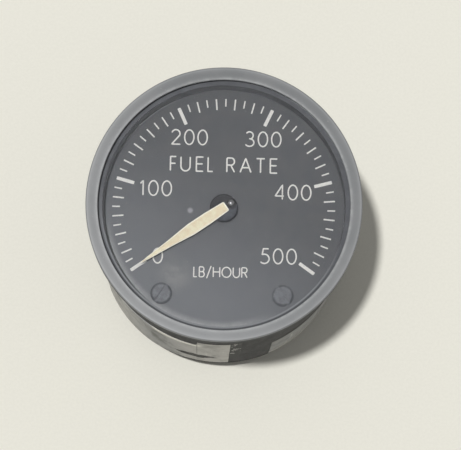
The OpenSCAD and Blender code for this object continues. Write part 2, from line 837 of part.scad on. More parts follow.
module rear_arm() {
    color([0.75, 0.62, 0.33])
        spring_arm(rear_arm_z, rear_lever_len, hair_rear_r + hair_t / 2 + stud_r + seat_gap,
            rear_arm_z + arm_t - eps, hair_rear_z);
}

// Radius of a hairspring's centre line after a share of its turns
function hair_at(in_r, out_r, share) = in_r + (out_r - in_r) * share;

// Flat spiral strip of hair_turns turns that ends at the stud's angle
module hairspring(out_r, z0) {
    in_mid = hair_in_r + hair_t / 2;
    steps = hair_turns * hair_steps;
    outer = [for (i = [0:steps])
        let (a = foot_angle - 360 * hair_turns * (1 - i / steps),
             r = hair_at(in_mid, out_r, i / steps) + hair_t / 2)
        [r * cos(a), r * sin(a)]];
    inner = [for (i = [steps:-1:0])
        let (a = foot_angle - 360 * hair_turns * (1 - i / steps),
             r = hair_at(in_mid, out_r, i / steps) - hair_t / 2)
        [r * cos(a), r * sin(a)]];
    translate([0, 0, z0])
        linear_extrude(height = hair_h)
            polygon(concat(outer, inner));
}

module front_hairspring() {
    color([0.72, 0.5, 0.3])
        hairspring(hair_front_r, hair_front_z);
}

module rear_hairspring() {
    color([0.72, 0.5, 0.3])
        hairspring(hair_rear_r, hair_rear_z - hair_h);
}

module spring_collets() {
    color([0.8, 0.68, 0.38]) {
        ring(collet_r, staff_r + seat_gap, hair_front_z + hair_h / 2 - collet_h / 2, collet_h);
        ring(collet_r, staff_r + seat_gap, hair_rear_z - hair_h / 2 - collet_h / 2, collet_h);
    }
}

// Staff with its rear pivot, its body and the front journal that carries the pointer
module staff() {
    color([0.7, 0.72, 0.74]) {
        rod(pivot_r, pivot_tip_z, pivot_len + eps);
        rod(staff_r, staff_z, journal_z - staff_z);
        rod(journal_r, journal_z - eps, blade_z - journal_z + eps);
    }
}

// Flat cross with two side arms and a longer finger opposite the pointer, for the stops
module balance_cross() {
    color([0.78, 0.78, 0.76])
        rotate([0, 0, zero_angle])
            difference() {
                union() {
                    rod(collet_r, balance_z, finger_t);
                    translate([-finger_w / 2, -balance_arm_len, balance_z])
                        cube([finger_w, 2 * balance_arm_len, finger_t]);
                    translate([-finger_len, -finger_w / 2, balance_z])
                        cube([finger_len, finger_w, finger_t]);
                }
                rod(staff_r + seat_gap, balance_z - cut, finger_t + 2 * cut);
            }
}

module balance_weights() {
    bore_r = sqrt(pow(finger_w, 2) + pow(finger_t, 2)) / 2 + seat_gap;
    color([0.75, 0.6, 0.3])
        for (a = [90, 180, 270])
            rotate([0, 0, zero_angle + a])
                translate([weight_pos - weight_len / 2, 0, balance_z + finger_t / 2])
                    rotate([0, 90, 0])
                        ring(weight_r, bore_r, 0, weight_len);
}

// One strip in front of the coil and one behind it, each with an eye round the staff
module coil_arms() {
    reach = core_mid_r;
    color([0.78, 0.78, 0.76])
        rotate([0, 0, zero_angle])
            for (z0 = [coil_top, coil_bottom - coil_arm_t])
                difference() {
                    union() {
                        rod(coil_arm_w / 2, z0, coil_arm_t);
                        translate([0, -coil_arm_w / 2, z0])
                            cube([reach, coil_arm_w, coil_arm_t]);
                    }
                    rod(staff_r + seat_gap, z0 - cut, coil_arm_t + 2 * cut);
                }
}

// Square-cornered frame round the ring core, of a wall t outside an inner opening
module coil_frame(gap, t, w) {
    difference() {
        translate([coil_x0 - gap - t, -w / 2, coil_z0 - gap - t])
            cube([coil_x1 - coil_x0 + 2 * (gap + t), w, coil_z1 - coil_z0 + 2 * (gap + t)]);
        translate([coil_x0 - gap, -w / 2 - cut, coil_z0 - gap])
            cube([coil_x1 - coil_x0 + 2 * gap, w + 2 * cut, coil_z1 - coil_z0 + 2 * gap]);
    }
}

module coil_former() {
    color([0.82, 0.83, 0.84])
        rotate([0, 0, zero_angle])
            coil_frame(0, former_t, former_w);
}

module moving_coil() {
    color([0.72, 0.34, 0.16])
        rotate([0, 0, zero_angle])
            coil_frame(former_t, winding_t, winding_w);
}

// Soft iron ring, split at the foot so that the coil can be threaded on
module ring_core() {
    color([0.45, 0.46, 0.48])
        difference() {
            ring(core_r, core_in_r, core_z, core_h);
            translate([-core_split / 2, -core_r - cut, core_z - cut])
                cube([core_split, core_r, core_h + 2 * cut]);
            around(core_screw_angles, core_mid_r)
                rod(core_thread_r + seat_gap, core_z - cut, core_h + 2 * cut);
        }
}

// Sector of a ring between two angles, cut from a tube by a wedge
module ring_sector(out_r, in_r, z0, h, half_angle) {
    wedge = 2 * out_r;
    translate([0, 0, z0])
        linear_extrude(height = h)
            intersection() {
                difference() {
                    circle(r = out_r);
                    circle(r = in_r);
                }
                polygon([
                    [0, 0],
                    [-wedge * sin(half_angle), -wedge * cos(half_angle)],
                    [wedge * sin(half_angle), -wedge * cos(half_angle)]]);
            }
}

module magnet() {
    color([0.3, 0.31, 0.34])
        difference() {
            ring_sector(core_r, core_in_r, cup_floor, core_z - cup_floor, magnet_angle / 2);
            around(core_screw_angles, core_mid_r)
                rod(core_thread_r + seat_gap, cup_floor - cut, core_z - cup_floor + 2 * cut);
        }
}

module core_screws() {
    color([0.8, 0.68, 0.38])
        around(core_screw_angles, core_mid_r)
            translate([0, 0, core_top])
                slotted_screw(core_head_r, core_head_h, core_thread_r,
                    core_top - cup_floor + cup_base_t * 0.8);
}

// Soft iron cup that closes the flux path round the coil
module pole_cup() {
    color([0.4, 0.41, 0.43])
        difference() {
            rod(cup_r, cup_z, cup_h);
            rod(cup_in_r, cup_floor, cup_h);
            rod(bush_r + seat_gap, cup_z - cut, cup_base_t + 2 * cut);
            around(core_screw_angles, core_mid_r)
                rod(core_thread_r + seat_gap, cup_z - cut, cup_base_t + 2 * cut);
            around(pillar_angles, pillar_pos)
                rod(pillar_spigot_r + seat_gap, cup_top - pillar_spigot_len - seat_gap,
                    pillar_spigot_len + cut);
            around(rod_angles, rod_pos)
                rod(rod_r + seat_gap, cup_z - cut, rod_depth + seat_gap + cut);
        }
}

module stop_pins() {
    color([0.7, 0.71, 0.72])
        around([stop_start, stop_end], stop_pos)
            rod(stop_r, stop_pin_end, plate_z + plate_t / 2 - stop_pin_end);
}

// Bush in the cup's base, for the rear jewel screw, with a collar that keeps the rear arm on
module rear_bearing() {
    color([0.8, 0.68, 0.38])
        difference() {
            union() {
                rod(bush_r, cup_z, bush_rear_top - cup_z);
                rod(bush_r + bush_collar, bush_rear_top - bush_collar_t, bush_collar_t);
            }
            rod(jewel_screw_r + seat_gap, cup_z - cut, bush_rear_top - cup_z + 2 * cut);
        }
}

module rear_jewel_screw() {
    tail_z = lock_nut_z - jewel_screw_tail;
    color([0.7, 0.1, 0.2])
        difference() {
            rod(jewel_screw_r, tail_z, jewel_screw_top - tail_z);
            rod(pivot_r + pivot_gap, jewel_floor_z, jewel_h + cut);
            translate([-jewel_screw_r - cut, -jewel_screw_r * slot_share / 2, tail_z - cut])
                cube([2 * (jewel_screw_r + cut), jewel_screw_r * slot_share,
                    jewel_screw_tail / 2 + cut]);
        }
}

module rear_lock_nut() {
    color([0.8, 0.68, 0.38])
        difference() {
            translate([0, 0, lock_nut_z])
                cylinder(r = lock_nut_r, h = lock_nut_h, $fn = 6);
            rod(jewel_screw_r + seat_gap, lock_nut_z - cut, lock_nut_h + 2 * cut);
        }
}

module board_rods() {
    color([0.75, 0.76, 0.77])
        around(rod_angles, rod_pos)
            rod(rod_r, rod_end, cup_z + rod_depth - rod_end);
}

module board_spacers() {
    color([0.8, 0.8, 0.78])
        around(rod_angles, rod_pos) {
            ring(rod_r + seat_gap + spacer_tube_w, rod_r + seat_gap, driver_top, board_gap_front);
            ring(rod_r + seat_gap + spacer_tube_w, rod_r + seat_gap, power_top, board_gap_rear);
        }
}

module rod_nuts() {
    color([0.75, 0.76, 0.77])
        around(rod_angles, rod_pos)
            difference() {
                translate([0, 0, power_z - rod_nut_h])
                    cylinder(r = rod_nut_r, h = rod_nut_h, $fn = 6);
                rod(rod_r + seat_gap, power_z - rod_nut_h - cut, rod_nut_h + 2 * cut);
            }
}

// Round board with holes for the three rods
module board(z0) {
    difference() {
        rod(board_r, z0, board_t);
        around(rod_angles, rod_pos)
            rod(rod_r + seat_gap, z0 - cut, board_t + 2 * cut);
    }
}

module driver_board() {
    color([0.1, 0.36, 0.2])
        board(driver_z);
}

module power_board() {
    color([0.1, 0.36, 0.2])
        board(power_z);
}

module transistors() {
    rim_t = transistor_rim;
    color([0.7, 0.68, 0.62])
        around(transistor_angles, transistor_pos - transistor_rim) {
            rod(transistor_r + transistor_rim, power_top, rim_t);
            rod(transistor_r, power_top, transistor_h);
        }
}

module capacitors() {
    color([0.2, 0.32, 0.55])
        around(capacitor_angles, capacitor_pos)
            rod(capacitor_r, driver_top, capacitor_h);
}

// Axial resistors lying side by side on the power board, on bent leads
module resistors() {
    axis_z = power_top + resistor_r + wire_r;
    lead_x = resistor_len / 2 + 2 * wire_r;
    color([0.55, 0.38, 0.25])
        for (i = [0:resistor_count - 1])
            translate([0, (i - (resistor_count - 1) / 2) * resistor_pitch, 0]) {
                translate([-resistor_len / 2, 0, axis_z])
                    rotate([0, 90, 0])
                        cylinder(r = resistor_r, h = resistor_len);
                translate([-lead_x, 0, axis_z])
                    rotate([0, 90, 0])
                        cylinder(r = wire_r, h = 2 * lead_x);
                for (s = [-1, 1])
                    translate([s * lead_x, 0, 0]) {
                        rod(wire_r, power_top, axis_z - power_top);
                        translate([0, 0, axis_z])
                            sphere(r = wire_r);
                    }
            }
}

module trimmer_bodies() {
    color([0.15, 0.25, 0.6])
        for (s = [-1, 1])
            difference() {
                translate([s * trimmer_pos - trimmer_w / 2, -trimmer_w / 2, trimmer_z])
                    cube([trimmer_w, trimmer_w, trimmer_h]);
                translate([s * trimmer_pos, 0, 0])
                    rod(trimmer_screw_r + arm_gap, trimmer_z - cut,
                        trimmer_screw_h + arm_gap + cut);
            }
}

// Adjusting screw in a trimmer, slotted on its rear face
module trimmer_screw(side) {
    translate([side * trimmer_pos, 0, trimmer_z])
        difference() {
            cylinder(r = trimmer_screw_r, h = trimmer_screw_h);
            translate([-trimmer_screw_r - cut, -trimmer_screw_r * slot_share / 2, -cut])
                cube([2 * (trimmer_screw_r + cut), trimmer_screw_r * slot_share,
                    trimmer_screw_h / 2 + cut]);
        }
}

module trimmer_screw_left() {
    color([0.85, 0.8, 0.6])
        trimmer_screw(-1);
}

module trimmer_screw_right() {
    color([0.85, 0.8, 0.6])
        trimmer_screw(1);
}

// Wires between the two boards, and from the driver board up to the front plate
module internal_leads() {
    color([0.8, 0.75, 0.6]) {
        around(board_lead_angles, lead_pos)
            rod(wire_r, power_top, board_gap_rear);
        around(movement_lead_angles, lead_pos)
            rod(wire_r, driver_top, plate_z + plate_t / 2 - driver_top);
    }
}

// Places of the contacts: one in the centre and a circle round it
module at_contacts() {
    children();
    for (i = [0:pin_count - 1])
        rotate([0, 0, lever_angle + 360 * i / pin_count])
            translate([pin_circle_r, 0, 0])
                children();
}

module receptacle_leads() {
    color([0.8, 0.75, 0.6])
        at_contacts()
            rod(wire_r, solder_top, power_z - solder_top);
}

module rear_ring() {
    color([0.62, 0.6, 0.55])
        difference() {
            ring(case_in_r - seat_gap, rear_ring_in_r, rear_ring_z, rear_ring_h);
            at_cover_screws()
                rod(cover_thread_r + seat_gap, rear_ring_z - cut, rear_ring_h + 2 * cut);
        }
}

// Places of the rear cover's screws
module at_cover_screws() {
    for (i = [0:cover_screw_count - 1])
        rotate([0, 0, 360 * (i + 0.5) / cover_screw_count])
            translate([cover_screw_pos, 0, 0])
                children();
}

module rear_gasket() {
    color([0.08, 0.08, 0.08])
        difference() {
            ring(cover_r, rear_ring_in_r, cover_top, cover_gasket_t);
            at_cover_screws()
                rod(cover_thread_r + seat_gap, cover_top - cut, cover_gasket_t + 2 * cut);
        }
}

module rear_cover() {
    color([0.14, 0.14, 0.15])
        difference() {
            rod(cover_r, cover_z, cover_t);
            rod(recep_r, cover_z - cut, cover_t + 2 * cut);
            at_cover_screws()
                rod(cover_thread_r + seat_gap, cover_z - cut, cover_t + 2 * cut);
            at_receptacle_screws()
                rod(receptacle_thread_r + seat_gap, cover_z - cut, cover_t + 2 * cut);
            around([fill_angle], fill_pos)
                rod(fill_thread_r + seat_gap, cover_z - cut, cover_t + 2 * cut);
        }
}

module cover_screws() {
    color([0.72, 0.72, 0.7])
        at_cover_screws()
            translate([0, 0, cover_z])
                mirror([0, 0, 1])
                    slotted_screw(cover_head_r, cover_head_h, cover_thread_r,
                        cover_t + cover_gasket_t + rear_ring_h * 0.8);
}

// Sealing plug of the hole through which the case was dried and filled
module fill_plug() {
    color([0.72, 0.72, 0.7])
        around([fill_angle], fill_pos) {
            translate([0, 0, cover_z - fill_head_h])
                cylinder(r = fill_head_r, h = fill_head_h, $fn = 6);
            rod(fill_thread_r, cover_z - eps, cover_t * 0.9);
        }
}

// Places of the receptacle's four screws
module at_receptacle_screws() {
    for (sx = [-1, 1])
        for (sy = [-1, 1])
            translate([sx * recep_hole, sy * recep_hole, 0])
                children();
}

// Square plate with round corners
module flange_plate(side, corner_r, z0, h) {
    inner = side / 2 - corner_r;
    translate([0, 0, z0])
        linear_extrude(height = h) {
            square([side, 2 * inner], center = true);
            square([2 * inner, side], center = true);
            for (sx = [-1, 1])
                for (sy = [-1, 1])
                    translate([sx * inner, sy * inner])
                        circle(r = corner_r);
        }
}

// Box-mounted receptacle shell: barrel with keyways, square flange and rear spigot
module receptacle_shell() {
    color([0.62, 0.63, 0.62])
        difference() {
            union() {
                rod(recep_r, 0, recep_flange_z + eps);
                flange_plate(receptacle_flange_w, receptacle_corner_r, recep_flange_z,
                    receptacle_flange_t);
                rod(recep_spigot_r, recep_gasket_z - eps, recep_top - recep_gasket_z + eps);
            }
            rod(recep_in_r, -cut, recep_top + 2 * cut);
            at_receptacle_screws()
                rod(receptacle_thread_r + seat_gap, recep_flange_z - cut,
                    receptacle_flange_t + 2 * cut);
            for (a = keyway_angles)
                rotate([0, 0, a])
                    translate([0, -keyway_w / 2, -cut])
                        cube([recep_in_r + keyway_depth, keyway_w, insert_z + cut]);
            rotate([0, 0, lever_angle])
                translate([0, -master_keyway_w / 2, -cut])
                    cube([recep_in_r + keyway_depth, master_keyway_w, insert_z + cut]);
            around(bayonet_angles, 0)
                translate([recep_r - receptacle_wall / 2, 0, bayonet_z])
                    rotate([0, 90, 0])
                        cylinder(r = bayonet_r + seat_gap, h = receptacle_wall);
        }
}

module bayonet_studs() {
    color([0.72, 0.73, 0.74])
        around(bayonet_angles, 0)
            translate([recep_r - receptacle_wall / 2 + seat_gap, 0, bayonet_z])
                rotate([0, 90, 0])
                    cylinder(r = bayonet_r, h = receptacle_wall / 2 + bayonet_out);
}

module receptacle_gasket() {
    color([0.1, 0.1, 0.1])
        difference() {
            flange_plate(receptacle_flange_w, receptacle_corner_r, recep_gasket_z,
                receptacle_gasket_t);
            rod(recep_r + seat_gap, recep_gasket_z - cut, receptacle_gasket_t + 2 * cut);
            at_receptacle_screws()
                rod(receptacle_thread_r + seat_gap, recep_gasket_z - cut,
                    receptacle_gasket_t + 2 * cut);
        }
}

module receptacle_insert() {
    color([0.25, 0.12, 0.1])
        difference() {
            rod(recep_in_r - seat_gap, insert_z, insert_t);
            at_contacts()
                rod(pin_r + seat_gap, insert_z - cut, insert_t + 2 * cut);
        }
}

// Contact pins with rounded tips in front of the insert and solder cups behind it
module contact_pins() {
    color([0.85, 0.72, 0.35])
        at_contacts() {
            rod(pin_r, pin_tip_z + pin_r, solder_top - pin_tip_z - pin_r);
            translate([0, 0, pin_tip_z + pin_r])
                sphere(r = pin_r);
            rod(solder_cup_r, insert_top, solder_cup_len);
        }
}

module receptacle_screws() {
    color([0.72, 0.72, 0.7])
        at_receptacle_screws()
            translate([0, 0, recep_flange_z])
                mirror([0, 0, 1])
                    slotted_screw(receptacle_head_r, receptacle_head_h, receptacle_thread_r,
                        receptacle_flange_t + receptacle_gasket_t + cover_t * 0.9);
}

bezel_ring();
cover_glass();
glass_gasket();
spacer_ring();
dial_plate();
dial_screws();
pointer_blade();
pointer_hub();
pointer_rivet();
case_shell();
seat_ring();
front_plate();
frame_screws();
movement_screws();
movement_pillars();
front_bearing();
front_jewel();
zero_arm();
front_hairspring();
spring_collets();
staff();
balance_cross();
balance_weights();
coil_arms();
coil_former();
moving_coil();
ring_core();
magnet();
core_screws();
pole_cup();
stop_pins();
rear_bearing();
rear_jewel_screw();
rear_lock_nut();
rear_arm();
rear_hairspring();
board_rods();
board_spacers();
rod_nuts();
driver_board();
power_board();
transistors();
capacitors();
resistors();
trimmer_bodies();
trimmer_screw_left();
trimmer_screw_right();
internal_leads();
receptacle_leads();
rear_ring();
rear_gasket();
rear_cover();
cover_screws();
fill_plug();
receptacle_shell();
bayonet_studs();
receptacle_gasket();
receptacle_insert();
contact_pins();
receptacle_screws();
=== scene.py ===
import json
import math

import bpy
import numpy as np
from mathutils import Matrix, Vector


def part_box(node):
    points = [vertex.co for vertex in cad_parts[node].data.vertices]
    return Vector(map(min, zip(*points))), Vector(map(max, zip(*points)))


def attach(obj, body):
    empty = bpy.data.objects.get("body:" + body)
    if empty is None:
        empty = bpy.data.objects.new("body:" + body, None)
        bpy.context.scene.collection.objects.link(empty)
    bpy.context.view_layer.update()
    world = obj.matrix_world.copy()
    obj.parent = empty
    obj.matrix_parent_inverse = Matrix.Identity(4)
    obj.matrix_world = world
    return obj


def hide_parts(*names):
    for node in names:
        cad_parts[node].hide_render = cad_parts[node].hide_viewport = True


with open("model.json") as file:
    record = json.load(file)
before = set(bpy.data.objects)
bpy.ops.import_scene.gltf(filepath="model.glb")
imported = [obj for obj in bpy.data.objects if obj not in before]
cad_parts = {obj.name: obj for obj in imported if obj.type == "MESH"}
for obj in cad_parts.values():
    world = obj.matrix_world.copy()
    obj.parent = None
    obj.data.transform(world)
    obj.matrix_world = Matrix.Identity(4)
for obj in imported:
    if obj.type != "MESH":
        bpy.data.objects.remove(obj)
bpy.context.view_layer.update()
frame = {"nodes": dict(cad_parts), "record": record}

# Sizes are in millimetres up to put_mesh, which turns them into metres
MM = 0.001


def heights(node):
    """Lowest and highest z of a CAD node, in millimetres."""
    low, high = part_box(node)
    return low.z / MM, high.z / MM


def reach(node):
    """Largest x of a CAD node, in millimetres: the radius of a piece turned about the axis."""
    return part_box(node)[1].x / MM


# Where the frame puts the pieces that the new ones sit on
DIAL_TOP = heights("dial_plate")[1]
CASE_FOOT = heights("case_shell")[0]
PANEL_Z, BEZEL_TOP = heights("bezel_ring")
GLASS_TOP = heights("cover_glass")[1]
SPACER_TOP = heights("spacer_ring")[1]
HUB_FOOT, HUB_TOP = heights("pointer_hub")
BLADE_Z, BLADE_TOP = heights("pointer_blade")
RIVET_TOP = heights("pointer_rivet")[1]
BEZEL_R = reach("bezel_ring")
CASE_R = 25.4

# Places on the front that shapes and finishes share
POINTER_ANGLE = 215.0
RIVET_POS = 1.7
DIAL_SCREW_POS = 20.3
DIAL_SCREW_ANGLES = (235.0, 305.0)
DIAL_HEAD_R = 2.05

# Camera, floor and light

# The gauge stands a little turned on its paper, so the camera turns round its axis instead
TURN = math.radians(1.15)
CAMERA_AT = (-4.9, -66.75, 519.3)
CAMERA_AIM = (1.205, -4.16, 70.0)
CAMERA_LENS = 187.1
CAMERA_SENSOR = 36.0
# Nearest and furthest that the camera sees, in metres
CAMERA_NEAR, CAMERA_FAR = 0.01, 20.0

# The paper's tone, and how much darker its fibres are
PAPER = (230, 228, 217)
PAPER_DROP = 3
FLOOR_HALF = 3000.0
# Where the lamp stands, its radius, and its share of the light on the floor
LAMP_AT = (-338.0, -74.0, 3000.0)
LAMP_R = 48.0
LAMP_LEVEL = 0.775
# The room's share, how much brighter it is on its bright side, and the backdrop that mirrors see
SKY_LEVEL = 0.225
SKY_LEAN = 0.75
BRIGHT_SIDE = (0.6, 0.66, 0.45)
BACKDROP_LEVEL = 0.8
# The backdrop is darker overhead, where the camera stands: its level, and where that starts
OVERHEAD_LEVEL = 0.25
OVERHEAD_FROM, OVERHEAD_FULL = 0.9, 0.97
# Sockets of a node that maps one range to another
RANGE_SOCKETS = ("From Min", "From Max", "To Min", "To Max")


def linear(colour):
    """A colour as seen on a screen, 0 to 255, as light, by the sRGB curve."""
    c = np.asarray(colour, float) / 255
    c = np.where(c <= 0.04045, c / 12.92, ((c + 0.055) / 1.055) ** 2.4)
    return (*c.tolist(), 1.0)


def turned_about_axis(point):
    """The point turned by TURN about the gauge's axis, in metres."""
    x, y, z = point
    return (
        (x * math.cos(TURN) - y * math.sin(TURN)) * MM,
        (x * math.sin(TURN) + y * math.cos(TURN)) * MM,
        z * MM,
    )


def aim(obj, at, target, up):
    """Puts a camera or lamp at a point: its -Z looks at the target and its +Y leans towards up."""
    back = (Vector(at) - Vector(target)).normalized()
    side = Vector(up).cross(back).normalized()
    over = back.cross(side)
    turn = Matrix((side, over, back)).transposed().to_4x4()
    obj.matrix_world = Matrix.Translation(Vector(at)) @ turn


def set_camera():
    """The camera of the photo's view: almost straight down on the dial."""
    data = bpy.data.cameras.new("camera")
    data.lens = CAMERA_LENS
    data.sensor_width = CAMERA_SENSOR
    data.clip_start, data.clip_end = CAMERA_NEAR, CAMERA_FAR
    camera = bpy.data.objects.new("camera", data)
    bpy.context.scene.collection.objects.link(camera)
    aim(camera, turned_about_axis(CAMERA_AT), turned_about_axis(CAMERA_AIM),
        (-math.sin(TURN), math.cos(TURN), 0))
    bpy.context.scene.camera = camera


def set_lamp():
    """One soft round lamp high overhead, a little to the left."""
    data = bpy.data.lights.new("overhead_lamp", "AREA")
    data.shape = "DISK"
    data.size = 2 * LAMP_R * MM
    distance = math.dist(LAMP_AT, (0, 0, 0)) * MM
    data.energy = LAMP_LEVEL * math.pi**2 * distance**2
    lamp = bpy.data.objects.new("overhead_lamp", data)
    bpy.context.scene.collection.objects.link(lamp)
    aim(lamp, turned_about_axis(LAMP_AT), (0, 0, 0), (0, 1, 0))


def mapped(tree, value, *numbers):
    """A value mapped from the first two numbers to the last two, and held past them."""
    node = tree.nodes.new("ShaderNodeMapRange")
    for socket, number in zip(RANGE_SOCKETS, numbers):
        node.inputs[socket].default_value = number
    tree.links.new(value, node.inputs["Value"])
    return node


def set_sky():
    """A pale room of strength SKY_LEVEL (1 + SKY_LEAN d), d being how far a direction points to
    the bright side. The camera, mirrors and glass see its plain backdrop."""
    world = bpy.data.worlds.new("pale_room")
    world.use_nodes = True
    tree = world.node_tree
    place = tree.nodes.new("ShaderNodeTexCoord")
    lean = tree.nodes.new("ShaderNodeVectorMath")
    lean.operation = "DOT_PRODUCT"
    lean.inputs[1].default_value = Vector(BRIGHT_SIDE).normalized()
    tree.links.new(place.outputs["Generated"], lean.inputs[0])
    level = mapped(tree, lean.outputs["Value"], -1, 1,
                   SKY_LEVEL * (1 - SKY_LEAN), SKY_LEVEL * (1 + SKY_LEAN))
    rays = tree.nodes.new("ShaderNodeLightPath")
    seen = rays.outputs["Is Camera Ray"]
    for kind in ("Is Glossy Ray", "Is Transmission Ray"):
        either = tree.nodes.new("ShaderNodeMath")
        either.operation = "MAXIMUM"
        tree.links.new(seen, either.inputs[0])
        tree.links.new(rays.outputs[kind], either.inputs[1])
        seen = either.outputs[0]
    choose = tree.nodes.new("ShaderNodeMix")
    tree.links.new(seen, choose.inputs["Factor"])
    tree.links.new(level.outputs["Result"], choose.inputs["A"])
    apart = tree.nodes.new("ShaderNodeSeparateXYZ")
    tree.links.new(place.outputs["Generated"], apart.inputs[0])
    backdrop = mapped(tree, apart.outputs[2], OVERHEAD_FROM, OVERHEAD_FULL,
                      BACKDROP_LEVEL, OVERHEAD_LEVEL)
    tree.links.new(backdrop.outputs["Result"], choose.inputs["B"])
    sky = tree.nodes["Background"]
    sky.inputs["Color"].default_value = (1.0, 1.0, 1.0, 1.0)
    tree.links.new(choose.outputs["Result"], sky.inputs["Strength"])
    bpy.context.scene.world = world
    bpy.context.scene.view_settings.view_transform = "Standard"


# Surfaces from numpy grids

TURN_STEPS = 288
# A profile point nearer to the axis than this lies on it
ON_AXIS = 1e-9
# Edges sharper than this stay sharp, in degrees
SMOOTH_ANGLE = 35


def grid_quads(rows, columns, close_rows=False, close_columns=False):
    """The four corner numbers of each quad between grid lines r, r + 1 and c, c + 1. A closed way
    joins its last line to its first."""
    r, c = np.meshgrid(
        np.arange(rows if close_rows else rows - 1),
        np.arange(columns if close_columns else columns - 1),
        indexing="ij",
    )
    r, c = r.ravel(), c.ravel()
    r2, c2 = (r + 1) % rows, (c + 1) % columns
    return np.stack(
        [r * columns + c, r2 * columns + c, r2 * columns + c2, r * columns + c2], axis=1
    )


def joined(parts):
    """Several (points, faces) as one: each part's corner numbers go up by the points before it."""
    points, faces, count = [], [], 0
    for p, f in parts:
        points.append(p)
        faces += [a + count for a in f]
        count += len(p)
    return np.concatenate(points), faces


def polar(distance, degrees):
    """The point at a distance and direction from the axis, in the dial's plane."""
    a = math.radians(degrees)
    return distance * math.cos(a), distance * math.sin(a)


def quarter(centre, radius, start, steps=6):
    """Points of a quarter circle about centre (r, z), anticlockwise from start degrees."""
    a = np.radians(np.linspace(start, start + 90, steps))
    return np.stack([centre[0] + radius * np.cos(a), centre[1] + radius * np.sin(a)], axis=1)


def turned(profile, steps=TURN_STEPS, centre=(0, 0)):
    """Surface of revolution: (cx + r cos a, cy + r sin a, z) for each profile point (r, z) and
    each angle a of a full turn. The profile runs anticlockwise in the r-z plane. One that starts
    or ends on the axis gets a fan to a single pole point there, and one that doesn't is joined
    to itself."""
    profile = np.asarray(profile, float)
    on_axis = profile[:, 0] < ON_AXIS
    ring = profile[~on_axis]
    a = np.linspace(0, 2 * np.pi, steps, endpoint=False)
    points = np.stack(
        [
            centre[0] + np.outer(np.cos(a), ring[:, 0]),
            centre[1] + np.outer(np.sin(a), ring[:, 0]),
            np.broadcast_to(ring[:, 1], (steps, len(ring))),
        ],
        axis=2,
    ).reshape(-1, 3)
    faces = [grid_quads(steps, len(ring), True, not on_axis.any())]
    i = np.arange(steps)
    j = (i + 1) % steps
    if on_axis[0]:
        points = np.vstack([points, [centre[0], centre[1], profile[0, 1]]])
        pole = np.full(steps, len(points) - 1)
        faces.append(np.stack([pole, j * len(ring), i * len(ring)], axis=1))
    if on_axis[-1]:
        points = np.vstack([points, [centre[0], centre[1], profile[-1, 1]]])
        pole = np.full(steps, len(points) - 1)
        last = len(ring) - 1
        faces.append(np.stack([pole, i * len(ring) + last, j * len(ring) + last], axis=1))
    return points, faces


def swept_strip(path, half_width, low, high, closed=False):
    """A flat strip carried along a path in the dial's plane: at each path point p with left
    normal n, the four corners are p - w n at low and high and p + w n at high and low. An open
    strip ends in two flat caps."""
    path = np.asarray(path, float)
    if closed:
        step = np.roll(path, -1, axis=0) - np.roll(path, 1, axis=0)
    else:
        step = np.gradient(path, axis=0)
    step /= np.linalg.norm(step, axis=1, keepdims=True)
    normal = np.stack([-step[:, 1], step[:, 0]], axis=1)
    w = np.broadcast_to(half_width, len(path))[:, None]
    right, left = path - w * normal, path + w * normal
    z_low = np.full((len(path), 1), low)
    z_high = np.full((len(path), 1), high)
    corners = ((right, z_low), (right, z_high), (left, z_high), (left, z_low))
    points = np.stack([np.hstack(corner) for corner in corners], axis=1).reshape(-1, 3)
    faces = [grid_quads(len(path), 4, closed, True)]
    if not closed:
        end = 4 * (len(path) - 1)
        faces.append(np.array([[0, 1, 2, 3], [end + 3, end + 2, end + 1, end]]))
    return points, faces


def put_mesh(name, part, finish, body, smooth_angle=SMOOTH_ANGLE, marks=None):
    """Makes one object at the origin from (points in mm, faces), gives it a finish and lets it
    ride on a body. Edges sharper than smooth_angle stay sharp. marks are numbers per point that
    the finish reads by name."""
    points, faces = part
    mesh = bpy.data.meshes.new(name)
    mesh.from_pydata((points * MM).tolist(), [], [f for a in faces for f in a.tolist()])
    mesh.polygons.foreach_set("use_smooth", np.ones(len(mesh.polygons), bool))
    mesh.set_sharp_from_angle(angle=math.radians(smooth_angle))
    for mark, values in (marks or {}).items():
        mesh.attributes.new(mark, "FLOAT", "POINT").data.foreach_set("value", values)
    mesh.update()
    obj = bpy.data.objects.new(name, mesh)
    bpy.context.scene.collection.objects.link(obj)
    mesh.materials.append(finish)
    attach(obj, body)
    return obj


def stand_in(name, part, finish, body, node, slot, **more):
    """A finer piece in the place of one CAD node, which it hides; slot is not used."""
    obj = put_mesh(name, part, finish, body, **more)
    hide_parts(node)
    return obj


# Finishes

# The parts of a noise's range that are spread over 0 to 1
MIDDLE, QUARTERS, WIDE = (0.3, 0.7), (0.25, 0.75), (0.2, 0.8)


